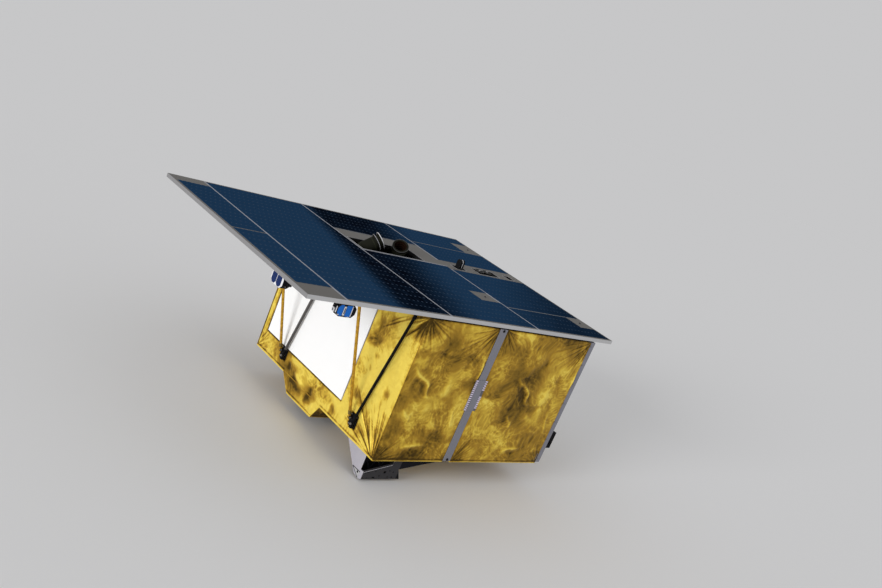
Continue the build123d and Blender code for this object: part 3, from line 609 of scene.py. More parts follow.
# Painted highlight: the colour of the bright rods along the bracket's edges.
PAINTED_HIGHLIGHT_EDGE = PaintFinish("painted_highlight_edge", (0.62, 0.61, 0.66), 0.0, 0.45, 0.2, spread=0.04)
OLIVE_DARK = PaintFinish("olive_dark", (0.020, 0.022, 0.013), 0.0, 0.55, 0.05, spread=0.12)
BROWN_DARK = PaintFinish("brown_dark", (0.016, 0.007, 0.004), 0.0, 0.6, 0.05, spread=0.2)
LENS = PaintFinish("lens_glass", (0.010, 0.006, 0.016), 0.0, 0.12, 0.5, spread=0.05, grain_depth=0.0)


@cache
def material_of(finish: Finish) -> bpy.types.Material:
    """Gives a finish's material, built at its first use."""
    return finish.make()


def span(name: str) -> tuple[Vector, Vector, Vector]:
    """Gives the lowest corner, the highest corner and the middle of a CAD node."""
    low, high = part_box(name)
    return low, high, (low + high) / 2


def at(x: float, y: float, z: float) -> Matrix:
    """A place that isn't turned."""
    return Matrix.Translation((x, y, z))


def standing(origin: Sequence[float], outward: Vector, upward: Vector = UP) -> Matrix:
    """Turns a place so that its Z points outward and its Y as far upward as it can.

    Args:
        origin: its origin.
        outward: direction of its Z.
        upward: direction that its Y leans to.

    Returns:
        The place.
    """
    z_axis = outward.normalized()
    x_axis = upward.cross(z_axis).normalized()
    place = Matrix((x_axis, z_axis.cross(x_axis), z_axis)).transposed().to_4x4()
    place.translation = origin
    return place


def block(x_size: float, y_size: float, corner: float = 0.0) -> list[Point]:
    """Outline of a centred rectangle, counter-clockwise.

    Args:
        x_size: length along X.
        y_size: length along Y.
        corner: length cut off each side at a corner.

    Returns:
        Its corners.
    """
    x, y, c = x_size / 2, y_size / 2, corner
    if c == 0.0:
        return [(-x, -y), (x, -y), (x, y), (-x, y)]
    return [(-x + c, -y), (x - c, -y), (x, -y + c), (x, y - c),
            (x - c, y), (-x + c, y), (-x, y - c), (-x, -y + c)]


def circle(radius: float, sides: int = 20) -> list[Point]:
    """Outline of a circle or an even polygon, counter-clockwise."""
    turns = (math.tau * side / sides for side in range(sides))
    return [(radius * math.cos(turn), radius * math.sin(turn)) for turn in turns]


def moved(outline: list[Point], x: float, y: float) -> list[Point]:
    """Outline shifted in its own plane."""
    return [(px + x, py + y) for px, py in outline]


def inset(outline: list[Point], width: float) -> list[Point]:
    """Moves the sides of a convex outline inwards.

    Args:
        outline: corners, counter-clockwise.
        width: distance to move each side.

    Returns:
        The corners of the smaller outline.
    """
    if width == 0.0:
        return outline
    result = []
    for index in range(len(outline)):
        before, here, after = (Vector(outline[(index + step) % len(outline)]) for step in (-1, 0, 1))
        into, out_of = (here - before).normalized(), (after - here).normalized()
        inward = Vector((-into.y, into.x)) + Vector((-out_of.y, out_of.x))
        result.append(tuple(here + inward * (width * 2.0 / inward.length_squared)))
    return result


def settle(name: str, mesh: bpy.types.Mesh, finish: Finish, body: str,
           smooth_below: float) -> Piece:
    """Puts a piece into the scene with its finish and body.

    Args:
        name: the piece's name.
        mesh: its mesh.
        finish: its finish.
        body: the CAD body that it rides on.
        smooth_below: edges that bend by less than this many degrees are shaded smooth.

    Returns:
        The new object.
    """
    mesh.polygons.foreach_set("use_smooth", [True] * len(mesh.polygons))
    mesh.set_sharp_from_angle(angle=math.radians(smooth_below))
    piece = bpy.data.objects.new(name, mesh)
    bpy.context.scene.collection.objects.link(piece)
    mesh.materials.append(material_of(finish))
    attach(piece, body)
    LOG.info("%s: %d faces, on %s", piece.name, len(mesh.polygons), body)
    return piece


class Shape:
    """Points and faces of one piece, gathered before its mesh is made."""

    def __init__(self) -> None:
        """Starts with nothing in it."""
        self.points: list[tuple[float, float, float]] = []
        self.faces: list[tuple[int, ...]] = []

    def add(self, points: Iterable[Sequence[float]], faces: Iterable[tuple[int, ...]], place: Matrix) -> None:
        """Adds points and the faces between them.

        Args:
            points: new points.
            faces: faces that count from the first new point.
            place: where the points go.
        """
        first = len(self.points)
        self.points.extend(tuple(place @ Vector(point)) for point in points)
        self.faces.extend(tuple(first + corner for corner in face) for face in faces)

    def plate(self, outline: list[Point], low: float, high: float, place: Matrix,
              chamfer: float = 0.0) -> None:
        """Adds a flat plate with a chamfer round its upper edge.

        Args:
            outline: corners, counter-clockwise, of a convex outline.
            low: height of its underside.
            high: height of its top.
            place: where it goes.
            chamfer: width of the chamfer.
        """
        count, levels = len(outline), (low, high - chamfer) if chamfer > 0.0 else (low,)
        points = [(x, y, level) for level in levels for x, y in outline]
        points += [(x, y, high) for x, y in inset(outline, chamfer)]
        faces = [tuple(reversed(range(count)))]
        for start in range(0, len(levels) * count, count):
            for corner in range(count):
                after = (corner + 1) % count
                faces.append((start + corner, start + after, start + count + after, start + count + corner))
        faces.append(tuple(range(len(points) - count, len(points))))
        self.add(points, faces, place)

    def tiles(self, place: Matrix, *rows: tuple[float, ...]) -> None:
        """Adds rectangular plates.

        Args:
            place: where they go.
            rows: width, height, cut corner, X and Y of the middle, underside, top and chamfer of each.
        """
        for width, height, corner, x, y, low, high, chamfer in rows:
            self.plate(moved(block(width, height, corner), x, y), low, high, place, chamfer)

    def turned(self, profile: list[Point], sides: int, place: Matrix, closed: bool = True) -> None:
        """Adds a turned form.

        Args:
            profile: radius and height of each point, going round the section counter-clockwise.
            sides: number of flats round the axis.
            place: where it goes; the axis is its Z.
            closed: joins the profile's last point to its first.
        """
        count = len(profile)
        points = [(r * math.cos(turn), r * math.sin(turn), z)
                  for turn in (math.tau * side / sides for side in range(sides)) for r, z in profile]
        faces = []
        for side in range(sides):
            here, there = side * count, (side + 1) % sides * count
            for step in range(count if closed else count - 1):
                after = (step + 1) % count
                faces.append((here + step, there + step, there + after, here + after))
        self.add(points, faces, place)

    def make(self, name: str, slot: Slot, finish: Finish | None = None, body: str = BUS,
             smooth_below: float = 35.0) -> Piece:
        """Makes the piece and puts it on its body.

        Args:
            name: the piece's name.
            slot: record slot whose finish it takes when no finish is given.
            finish: its finish, or None for the slot's own.
            body: the CAD body that it rides on.
            smooth_below: edges that bend by less than this many degrees are shaded smooth.

        Returns:
            The new object.
        """
        mesh = bpy.data.meshes.new(name)
        mesh.from_pydata(self.points, [], self.faces)
        mesh.update()
        return settle(name, mesh, finish or FINISHES[slot], body, smooth_below)


@dataclass(frozen=True)
class Bolt:
    """A hexagon head on a washer, with the threaded end beyond it where it is a nut."""

    washer_r: float
    washer_t: float
    head_r: float
    head_t: float
    end_r: float = 0.0
    end_t: float = 0.003

    def put(self, shape: Shape, *places: Matrix) -> None:
        """Adds bolts.

        Args:
            shape: shape that they join.
            places: where they go; the Z of each points out of the surface.
        """
        top = self.washer_t + self.head_t
        for place in places:
            shape.plate(circle(self.washer_r), 0.0, self.washer_t, place, 0.0003)
            shape.plate(circle(self.head_r, 6), self.washer_t, top, place, 0.0008)
            if self.end_r > 0.0:
                shape.plate(circle(self.end_r, 12), top, top + self.end_t, place, 0.0006)


class SoftNoise:
    """Smooth random values over a plane, the same for the same seed."""

    LATTICE = 64

    def __init__(self, seed: int) -> None:
        """Draws the lattice of values."""
        self.values = np.random.default_rng(seed).random((self.LATTICE, self.LATTICE))

    def at(self, u: Grid, v: Grid, size: float) -> Grid:
        """Gives values from 0 to 1.

        Args:
            u: places along the first direction.
            v: places along the second direction.
            size: distance between two drawn values.

        Returns:
            One value for each place.
        """
        x, y = u / size, v / size
        column, row = np.floor(x).astype(int), np.floor(y).astype(int)
        fx, fy = (f * f * f * (f * (f * 6.0 - 15.0) + 10.0) for f in (x - column, y - row))
        left, right = column % self.LATTICE, (column + 1) % self.LATTICE
        low, high = row % self.LATTICE, (row + 1) % self.LATTICE
        lower = self.values[low, left] * (1.0 - fx) + self.values[low, right] * fx
        upper = self.values[high, left] * (1.0 - fx) + self.values[high, right] * fx
        return lower * (1.0 - fy) + upper * fy

    def layered(self, u: Grid, v: Grid, size: float, layers: int) -> Grid:
        """Gives values from 0 to 1 with finer layers added, each half as large as the one before.

        Args:
            u: places along the first direction.
            v: places along the second direction.
            size: distance between two drawn values of the first layer.
            layers: number of layers.

        Returns:
            One value for each place.
        """
        shares = [0.5**layer for layer in range(layers)]
        total = sum(self.at(u + 3.7 * layer, v - 2.9 * layer, size * share) * share
                    for layer, share in enumerate(shares))
        return total / sum(shares)


def smooth_step(share: float | Grid) -> float | Grid:
    """Rises smoothly from 0 to 1 as the share does, and stays there."""
    share = np.clip(share, 0.0, 1.0)
    return share * share * (3.0 - 2.0 * share)


def smooth_line(points: list[Grid], steps: int = 6) -> Grid:
    """Rounds a line through a few points.

    Args:
        points: the points.
        steps: parts between two points.

    Returns:
        The points of the rounded line.
    """
    ends = [2 * points[0] - points[1], *points, 2 * points[-1] - points[-2]]
    line = []
    for before, start, end, after in zip(ends, ends[1:], ends[2:], ends[3:]):
        for t in (step / steps for step in range(steps)):
            line.append(0.5 * (2 * start + (end - before) * t
                               + (2 * before - 5 * start + 4 * end - after) * t**2
                               + (3 * start - before - 3 * end + after) * t**3))
    return np.array([*line, points[-1]])


def measure_line(u: Grid, v: Grid, line: Grid) -> tuple[Grid, Grid]:
    """Measures how far places are from a line.

    Args:
        u: places along the first direction.
        v: places along the second direction.
        line: points of the line.

    Returns:
        The distance, and the share of the line's length where the line is nearest.
    """
    steps = np.linalg.norm(np.diff(line, axis=0), axis=1)
    passed = np.concatenate([[0.0], np.cumsum(steps)])
    nearest, along = np.full(u.shape, 1e9), np.zeros(u.shape)
    for index, length in enumerate(steps):
        start, way = line[index], (line[index + 1] - line[index]) / length
        forward = np.clip((u - start[0]) * way[0] + (v - start[1]) * way[1], 0.0, length)
        away = np.hypot(u - start[0] - forward * way[0], v - start[1] - forward * way[1])
        closer = away < nearest
        nearest, along = np.where(closer, away, nearest), np.where(closer, passed[index] + forward, along)
    return nearest, along / passed[-1]


@dataclass(frozen=True)
class Fold:
    """A fold along a bent line: metres to the left of the sheet's upper right corner, and down from it."""

    points: tuple[Point, ...]
    width: float
    height: float
    # shade is painted light and shade along the fold: above nothing a painted highlight, below it painted
    # shade.
    shade: float
    from_corner: bool = False

    def strength(self, u: Grid, v: Grid, sheet_width: float) -> Grid:
        """Gives the share of the fold's height and shade that each place gets.

        Args:
            u: places along the sheet's width.
            v: places down its height.
            sheet_width: the sheet's width.

        Returns:
            A share from 0 to 1 for each place.
        """
        line = smooth_line([np.array((sheet_width - left, down)) for left, down in self.points])
        room = 6.0 * self.width
        low, high = line.min(axis=0) - room, line.max(axis=0) + room
        near = (u > low[0]) & (u < high[0]) & (v > low[1]) & (v < high[1])
        away, along = measure_line(u[near], v[near], line)
        if self.from_corner:
            spread = self.width * (0.5 + 0.9 * along)
            fade = np.clip(along / 0.14, 0.0, 1.0) * (1.0 - along) ** 0.6
        else:
            spread = self.width * (0.7 + 0.3 * np.sin(math.pi * along))
            fade = np.sin(math.pi * np.clip(along, 0.0, 1.0)) ** 0.6
        share = np.zeros_like(u)
        share[near] = fade / (1.0 + (away / spread) ** 2) ** 2
        return share


@dataclass(frozen=True)
class Fan:
    """Folds that spread from a corner where the foil is pulled tight, between two angles in degrees."""

    corner: Point
    first: float
    last: float
    count: int
    reach: float
    height: float
    # shade is the painted light and shade of the fan's folds.
    shade: float = 0.55
    wide: float = 1.0

    def folds(self, seed: int, width: float, height: float) -> list[Fold]:
        """Draws the fan's folds.

        Args:
            seed: number that fixes the draw.
            width: the sheet's width.
            height: height of the corners' rectangle.

        Returns:
            The folds, ridges and hollows in turn.
        """
        draw = np.random.default_rng(seed)
        result = []
        for index in range(self.count):
            turn = self.first + (self.last - self.first) * (index + draw.uniform(0.2, 0.8)) / self.count
            cos, sin = math.cos(math.radians(turn)), math.sin(math.radians(turn))
            reach = self.reach * draw.uniform(0.45, 1.0)
            bend = draw.uniform(-0.03, 0.03) * reach
            points = tuple(
                (width * (1.0 - self.corner[0]) - (cos * reach * share - sin * shift),
                 self.corner[1] * height + sin * reach * share + cos * shift)
                for share, shift in ((0.0, 0.0), (0.5, bend), (1.0, 0.0)))
            rise, shade = self.height * draw.uniform(0.5, 1.0), self.shade * draw.uniform(0.5, 1.0)
            spread = self.wide * draw.uniform(0.0045, 0.0085)
            # Ridges are painted lighter and hollows darker: painted shading.
            rise, shade = (-rise, -1.15 * shade) if index % 2 else (rise, 0.7 * shade)
            result.append(Fold(points, spread, rise, shade, from_corner=True))
        return result


@dataclass(frozen=True)
class Window:
    """A rectangle or a circle left out of a sheet, in metres from its upper left corner."""

    left: float
    right: float
    top: float
    bottom: float
    round: bool = False

    def clearance(self, u: Grid, v: Grid) -> Grid:
        """Measures how far places are outside the window.

        Args:
            u: places along the sheet's width.
            v: places down its height.

        Returns:
            The distance, less than nothing within the window.
        """
        if self.round:
            away = np.hypot(u - (self.left + self.right) / 2, v - (self.top + self.bottom) / 2)
            return away - (self.right - self.left) / 2
        across = np.maximum(self.left - u, u - self.right)
        down = np.maximum(self.top - v, v - self.bottom)
        outside = np.hypot(np.maximum(across, 0.0), np.maximum(down, 0.0))
        return np.where((across < 0) & (down < 0), np.maximum(across, down), outside)

    def fit(self, u: Grid, v: Grid, grid: float) -> tuple[Grid, Grid]:
        """Moves the grid points beside a round window onto its edge.

        Args:
            u: places along the sheet's width.
            v: places down its height.
            grid: distance between two grid lines.

        Returns:
            The moved places.
        """
        middle_u, middle_v = (self.left + self.right) / 2, (self.top + self.bottom) / 2
        away, radius = self.clearance(u, v), (self.right - self.left) / 2
        near = (away < grid * 0.75) & (away > -grid * 1.5)
        scale = np.where(near, radius / np.maximum(away + radius, 1e-6), 1.0)
        return middle_u + (u - middle_u) * scale, middle_v + (v - middle_v) * scale


@dataclass(frozen=True)
class Tongue:
    """A sheet's narrower part below a level, in metres from its upper left corner."""

    top: float
    left: float
    right: float
    end_left: float
    end_right: float
    proud: float = 0.0008
    deep: float = 0.0015

    def shift(self, u: Grid, v: Grid, bottom: float) -> Grid:
        """Moves the places below the level so that two grid lines follow the slanting sides.

        Args:
            u: places along the sheet's width.
            v: places down its height.
            bottom: the sheet's height.

        Returns:
            The moved places along the width.
        """
        down = np.clip((v - self.top) / (bottom - self.top), 0.0, 1.0)
        left = self.left + (self.end_left - self.left) * down
        right = self.right + (self.end_right - self.right) * down
        return left + (u - self.left) * (right - left) / (self.right - self.left)

    def clearance(self, flat_u: Grid, v: Grid) -> Grid:
        """Measures how far places are from the corners cut away beside the tongue.

        Args:
            flat_u: places along the width before they were moved.
            v: places down the height.

        Returns:
            The distance, less than nothing where the sheet is cut away.
        """
        beside = np.maximum(self.left - flat_u, flat_u - self.right)
        above = self.top - v
        inside = np.hypot(np.maximum(-beside, 0.0), np.maximum(above, 0.0))
        return np.where((beside > 0.0) & (above < 0.0), -1.0, np.where(beside > 0.0, above, inside))


@dataclass
class FoilSheet:
    """A foil blanket on a flat rectangle: crumpled face, tucked rim and sides down to its back.

    The corners are the upper left, upper right, lower left and lower right one of its outer face.
    """

    name: str
    corners: Sequence[Vector]
    outward: Vector
    thickness: float
    seed: int
    fans: tuple[Fan, ...] = ()
    folds: tuple[Fold, ...] = ()
    windows: tuple[Window, ...] = ()
    tongue: Tongue | None = None
    grid: float = 0.006
    swell: float = 0.006
    mottle_size: float = 0.24
    proud: float = 0.0
    rim: float = 0.020
    hem: float = 0.006
    contrast: float = 1.0
    tone: float = 0.43
    # Strength of the painted highlight along the lower edge and of the painted shadow line above it.
    painted_rim_highlight_and_shadow: float = 0.5

    def __post_init__(self) -> None:
        """Works out the sheet's width and height."""
        self.across, self.down = self.corners[1] - self.corners[0], self.corners[2] - self.corners[0]
        self.width, self.height = self.across.length, self.down.length

    def lines(self, length: float, cuts: Iterable[float]) -> Grid:
        """Places grid lines that pass through every cut.

        Args:
            length: length to divide.
            cuts: places that a line has to pass through.

        Returns:
            The places of the lines.
        """
        stops = sorted({0.0, length, *(cut for cut in cuts if 0.0 < cut < length)})
        parts = [np.linspace(low, high, max(1, round((high - low) / self.grid)), endpoint=False)
                 for low, high in zip(stops, stops[1:])]
        return np.concatenate([*parts, [length]])

    def relief(self, u: Grid, v: Grid) -> tuple[Grid, Grid]:
        """Shapes the crumpled face.

        Args:
            u: places along the width.
            v: places down the height.

        Returns:
            The height in metres, and the tone: painted light and shade, lighter on ridges and darker in
                hollows, with painted glints.
        """
        noise = SoftNoise(self.seed)
        drift_u = u + 0.10 * (noise.at(u, v, 0.17) - 0.5)
        drift_v = v + 0.10 * (noise.at(u + 9.0, v, 0.17) - 0.5)
        soft = noise.layered(drift_u, drift_v, self.mottle_size, 4) - 0.5
        streaks = self.streaks(noise, drift_u, drift_v)
        small = 1.0 - np.abs(2.0 * noise.layered(drift_u + 2.0, drift_v * 1.3, 0.035, 2) - 1.0)
        patches = np.clip(3.0 * noise.at(u + 13.0, v + 7.0, 0.11) - 1.1, 0.0, 1.0)
        # The glints are painted highlights.
        painted_glints = np.clip(small * 2.2 - 1.55, 0.0, 1.0) * patches
        height = self.swell * 1.8 * soft + 0.0012 * streaks + 0.0010 * small**2
        # The tone follows the relief: painted light and shade, ridges lighter and hollows darker.
        marks = 1.30 * soft + 0.22 * streaks + 0.14 * (small - 0.5) + 0.26 * painted_glints
        tone = self.tone + self.contrast * marks
        corners_height = self.tongue.top if self.tongue else self.height
        placed = [(fold, u, v) for index, fan in enumerate(self.fans)
                  for fold in fan.folds(self.seed * 31 + index, self.width, corners_height)]
        for fold in self.folds:
            sway = min(0.10, 1.6 * fold.width)
            placed.append((fold, u + sway * (noise.layered(u + 21.0, v, 0.13, 2) - 0.5),
                           v + sway * (noise.layered(u, v + 17.0, 0.13, 2) - 0.5)))
        for fold, fold_u, fold_v in placed:
            share = fold.strength(fold_u, fold_v, self.width)
            height, tone = height + fold.height * share, tone + fold.shade * share
        return height, tone

    def streaks(self, noise: SoftNoise, u: Grid, v: Grid) -> Grid:
        """Draws feathery wrinkles that run in a few directions, each direction in its own patches.

        Args:
            noise: the sheet's random values.
            u: drifted places along the width.
            v: drifted places down the height.

        Returns:
            A value around nothing for each place, above it on the wrinkles' crests.
        """
        total = np.zeros_like(u)
        for index, turn in enumerate((38.0, -52.0, 74.0)):
            cos, sin = math.cos(math.radians(turn)), math.sin(math.radians(turn))
            along, across = cos * u + sin * v, cos * v - sin * u
            ridge = 1.0 - np.abs(2.0 * noise.layered(along * 0.34 + 3.0 * index, across, 0.034, 3) - 1.0)
            patch = np.clip(2.6 * noise.at(u + 6.0 * index, v + 4.0, 0.19) - 1.0, 0.0, 1.0)
            total += (ridge**2 - 0.42) * patch
        return total

    def make(self, node: str | None = None) -> None:
        """Makes the blanket.

        Args:
            node: CAD node that it stands for, or None.
        """
        tongue = self.tongue
        straight = [window for window in self.windows if not window.round]
        side_cuts = [edge for w in straight for edge in (w.left, w.right)]
        down_cuts = [edge for w in straight for edge in (w.top, w.bottom)]
        if tongue:
            side_cuts += [tongue.left, tongue.right]
            down_cuts.append(tongue.top)
        flat_u, v = np.meshgrid(self.lines(self.width, side_cuts), self.lines(self.height, down_cuts))
        u = tongue.shift(flat_u, v, self.height) if tongue else flat_u
        for window in self.windows:
            if window.round:
                u, v = window.fit(u, v, self.grid)
        outer = np.minimum.reduce([u, self.width - u, v, self.height - v])
        inner, deep, lower = np.full(u.shape, 9.0), np.full(u.shape, self.thickness), self.height - v
        if tongue:
            outer = np.minimum(outer, np.maximum(tongue.clearance(flat_u, v), 0.0))
            deep[v > tongue.top + MM] = tongue.deep
            inside = (flat_u > tongue.left) & (flat_u < tongue.right)
            lower = np.where(inside, lower, np.maximum(tongue.top - v, 0.0))
        for window in self.windows:
            inner = np.minimum(inner, np.maximum(window.clearance(u, v), 0.0))
        height, tone = self.relief(u, v)
        # Painted light on the lower edge: a painted highlight along the hem and a painted shadow line 20 mm
        # above it.
        painted_rim_highlight, painted_rim_shadow = np.exp(-((lower / 0.008) ** 2)), np.exp(-(((lower - 0.020) / 0.007) ** 2))
        tone += self.painted_rim_highlight_and_shadow * (1.8 * painted_rim_highlight - 0.9 * painted_rim_shadow)
        # Painted shade along the outer edges other than the lower one, and painted shadow lines round the
        # windows.
        tone -= 0.25 * np.exp(-((outer / 0.006) ** 2)) * (lower > 0.012)
        tone -= 1.2 * np.exp(-((inner / 0.006) ** 2))
        room = np.minimum(outer, inner)
        height = height * smooth_step(room / self.rim) + self.proud
        bend = 1.0 - np.clip(room / self.hem, 0.0, 1.0)
        height -= self.hem * 0.7 * (1.0 - np.sqrt(1.0 - 0.96 * bend**2))
        if tongue:
            height = np.where(v > tongue.top - self.grid, np.maximum(height, tongue.proud), height)
        s, t = (u / self.width)[..., None], (v / self.height)[..., None]
        top_left, top_right, bottom_left, bottom_right = (np.array(corner) for corner in self.corners)
        face = (top_left * (1 - s) + top_right * s) * (1 - t) + (bottom_left * (1 - s) + bottom_right * s) * t
        points = face + np.array(self.outward) * height[..., None]
        backs = face - np.array(self.outward) * deep[..., None]
        piece = self.join(points.reshape(-1, 3), backs.reshape(-1, 3), np.clip(tone, 0.0, 1.0).ravel(),
                          self.quads(flat_u, u, v))
        if node:
            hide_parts(node)

    def quads(self, flat_u: Grid, u: Grid, v: Grid) -> Grid:
        """Lists the grid squares outside the windows and the cut corners.

        Args:
            flat_u: places along the width before the tongue's were moved.
            u: places along the width.
            v: places down the height.

        Returns:
            Four point numbers for each square, counter-clockwise from outside.
        """
        index = np.arange(u.size).reshape(u.shape)
        corners = [index[:-1, :-1], index[1:, :-1], index[1:, 1:], index[:-1, 1:]]
        quads = np.stack(corners, axis=-1).reshape(-1, 4)
        flat_middle, *middle = (place.ravel()[quads].mean(axis=1) for place in (flat_u, u, v))
        kept = np.ones(len(quads), bool)
        for window in self.windows:
            kept &= window.clearance(*middle) > 0.0
        if self.tongue:
            kept &= self.tongue.clearance(flat_middle, middle[1]) > 0.0
        quads = quads[kept]
        return quads[:, ::-1] if self.down.cross(self.across).dot(self.outward) < 0.0 else quads

    def join(self, points: Grid, backs: Grid, tone: Grid, quads: Grid) -> Piece:
        """Joins the grid into one mesh with its sides.

        Args:
            points: points of the outer face.
            backs: the same points on the blanket's back.
            tone: tone of each point.
            quads: the grid squares to keep.

        Returns:
            The new object.
        """
        sides = np.concatenate([quads[:, [k, (k + 1) % 4]] for k in range(4)])
        keys = np.sort(sides, axis=1)
        numbers = keys[:, 0] * tone.size + keys[:, 1]
        _, first, counts = np.unique(numbers, return_index=True, return_counts=True)
        rim = sides[first[counts == 1]]
        rim_points, rim_index = np.unique(rim, return_inverse=True)
        rim_index = rim_index.reshape(-1, 2) + tone.size
        skirt = np.stack([rim[:, 1], rim[:, 0], rim_index[:, 0], rim_index[:, 1]], axis=-1)
        used, compact = np.unique(np.concatenate([quads, skirt]), return_inverse=True)
        mesh = bpy.data.meshes.new(self.name)
        everything = np.concatenate([points, backs[rim_points]])[used]
        mesh.from_pydata(everything.tolist(), [], compact.reshape(-1, 4).tolist())
        # The sides get 0.6 of the face's tone: painted shade.
        tones = np.concatenate([tone, tone[rim_points] * 0.6])[used]
        mesh.attributes.new("fold_painted_shading", "FLOAT", "POINT").data.foreach_set("value", tones)
        return settle(self.name, mesh, GOLD, BUS, 60.0)


BAY_FANS = (
    Fan((0.0, 0.0), 8.0, 84.0, 20, 0.30, 0.005, 0.62),
    Fan((1.0, 0.0), 98.0, 170.0, 26, 0.44, 0.005, 0.52),
    Fan((0.0, 1.0), -74.0, -6.0, 18, 0.30, 0.005, 0.60),
    Fan((1.0, 1.0), -172.0, -100.0, 12, 0.22, 0.004, 0.40),
)
# A fold's shade is painted light and shade; the last fold, with no height, is only a painted shade band near
# the bottom.
BAY_FOLDS = (
    Fold(((0.666, 0.372), (0.605, 0.424), (0.522, 0.468), (0.480, 0.509), (0.474, 0.567), (0.453, 0.603),
          (0.397, 0.608)), 0.020, 0.012, 0.62),
    Fold(((0.625, 0.462), (0.555, 0.500), (0.515, 0.560), (0.520, 0.620)), 0.034, -0.005, -0.24),
    Fold(((0.616, 0.714), (0.577, 0.767), (0.548, 0.779), (0.539, 0.832)), 0.018, 0.010, 0.50),
    Fold(((0.128, 0.668), (0.124, 0.738), (0.089, 0.845)), 0.012, 0.006, 0.30),
    Fold(((0.494, 1.036), (0.439, 1.019), (0.337, 1.008), (0.279, 1.013)), 0.020, 0.010, 0.45),
    Fold(((0.470, 1.075), (0.400, 1.062), (0.300, 1.062)), 0.034, -0.005, -0.24),
    Fold(((0.275, 0.430), (0.262, 0.500), (0.289, 0.600)), 0.040, 0.006, 0.34),
    Fold(((0.022, 0.250), (0.016, 0.350), (0.024, 0.450)), 0.010, 0.008, 0.55),
    Fold(((0.475, 0.215), (0.437, 0.231), (0.395, 0.250)), 0.060, -0.007, -0.34),
    Fold(((0.330, 0.585), (0.308, 0.613), (0.270, 0.650)), 0.055, -0.006, -0.28),
    Fold(((0.205, 0.300), (0.180, 0.355), (0.190, 0.420)), 0.050, -0.005, -0.24),
    Fold(((0.600, 0.895), (0.520, 0.910), (0.455, 0.880)), 0.050, -0.005, -0.24),
    Fold(((0.640, 0.140), (0.560, 0.170), (0.480, 0.120)), 0.050, 0.005, 0.24),
    Fold(((0.200, 0.880), (0.260, 0.850), (0.330, 0.800)), 0.034, 0.006, 0.26),
    Fold(((0.560, 0.250), (0.590, 0.310), (0.575, 0.370)), 0.040, 0.006, 0.28),
    Fold(((0.340, 0.720), (0.400, 0.700), (0.455, 0.735)), 0.034, 0.005, 0.24),
    Fold(((0.650, 1.120), (0.450, 1.110), (0.150, 1.120)), 0.050, 0.0, -0.22),
)
END_FANS = (
    Fan((1.0, 0.0), 95.0, 152.0, 20, 0.34, 0.005, 0.90, 1.2),
    Fan((1.0, 1.0), -170.0, -96.0, 34, 0.58, 0.006, 1.25, 1.5),
    Fan((0.0, 1.0), -80.0, -10.0, 16, 0.26, 0.005, 0.66),
    Fan((0.0, 0.0), 74.0, 89.0, 7, 0.90, 0.004, 0.50),
)
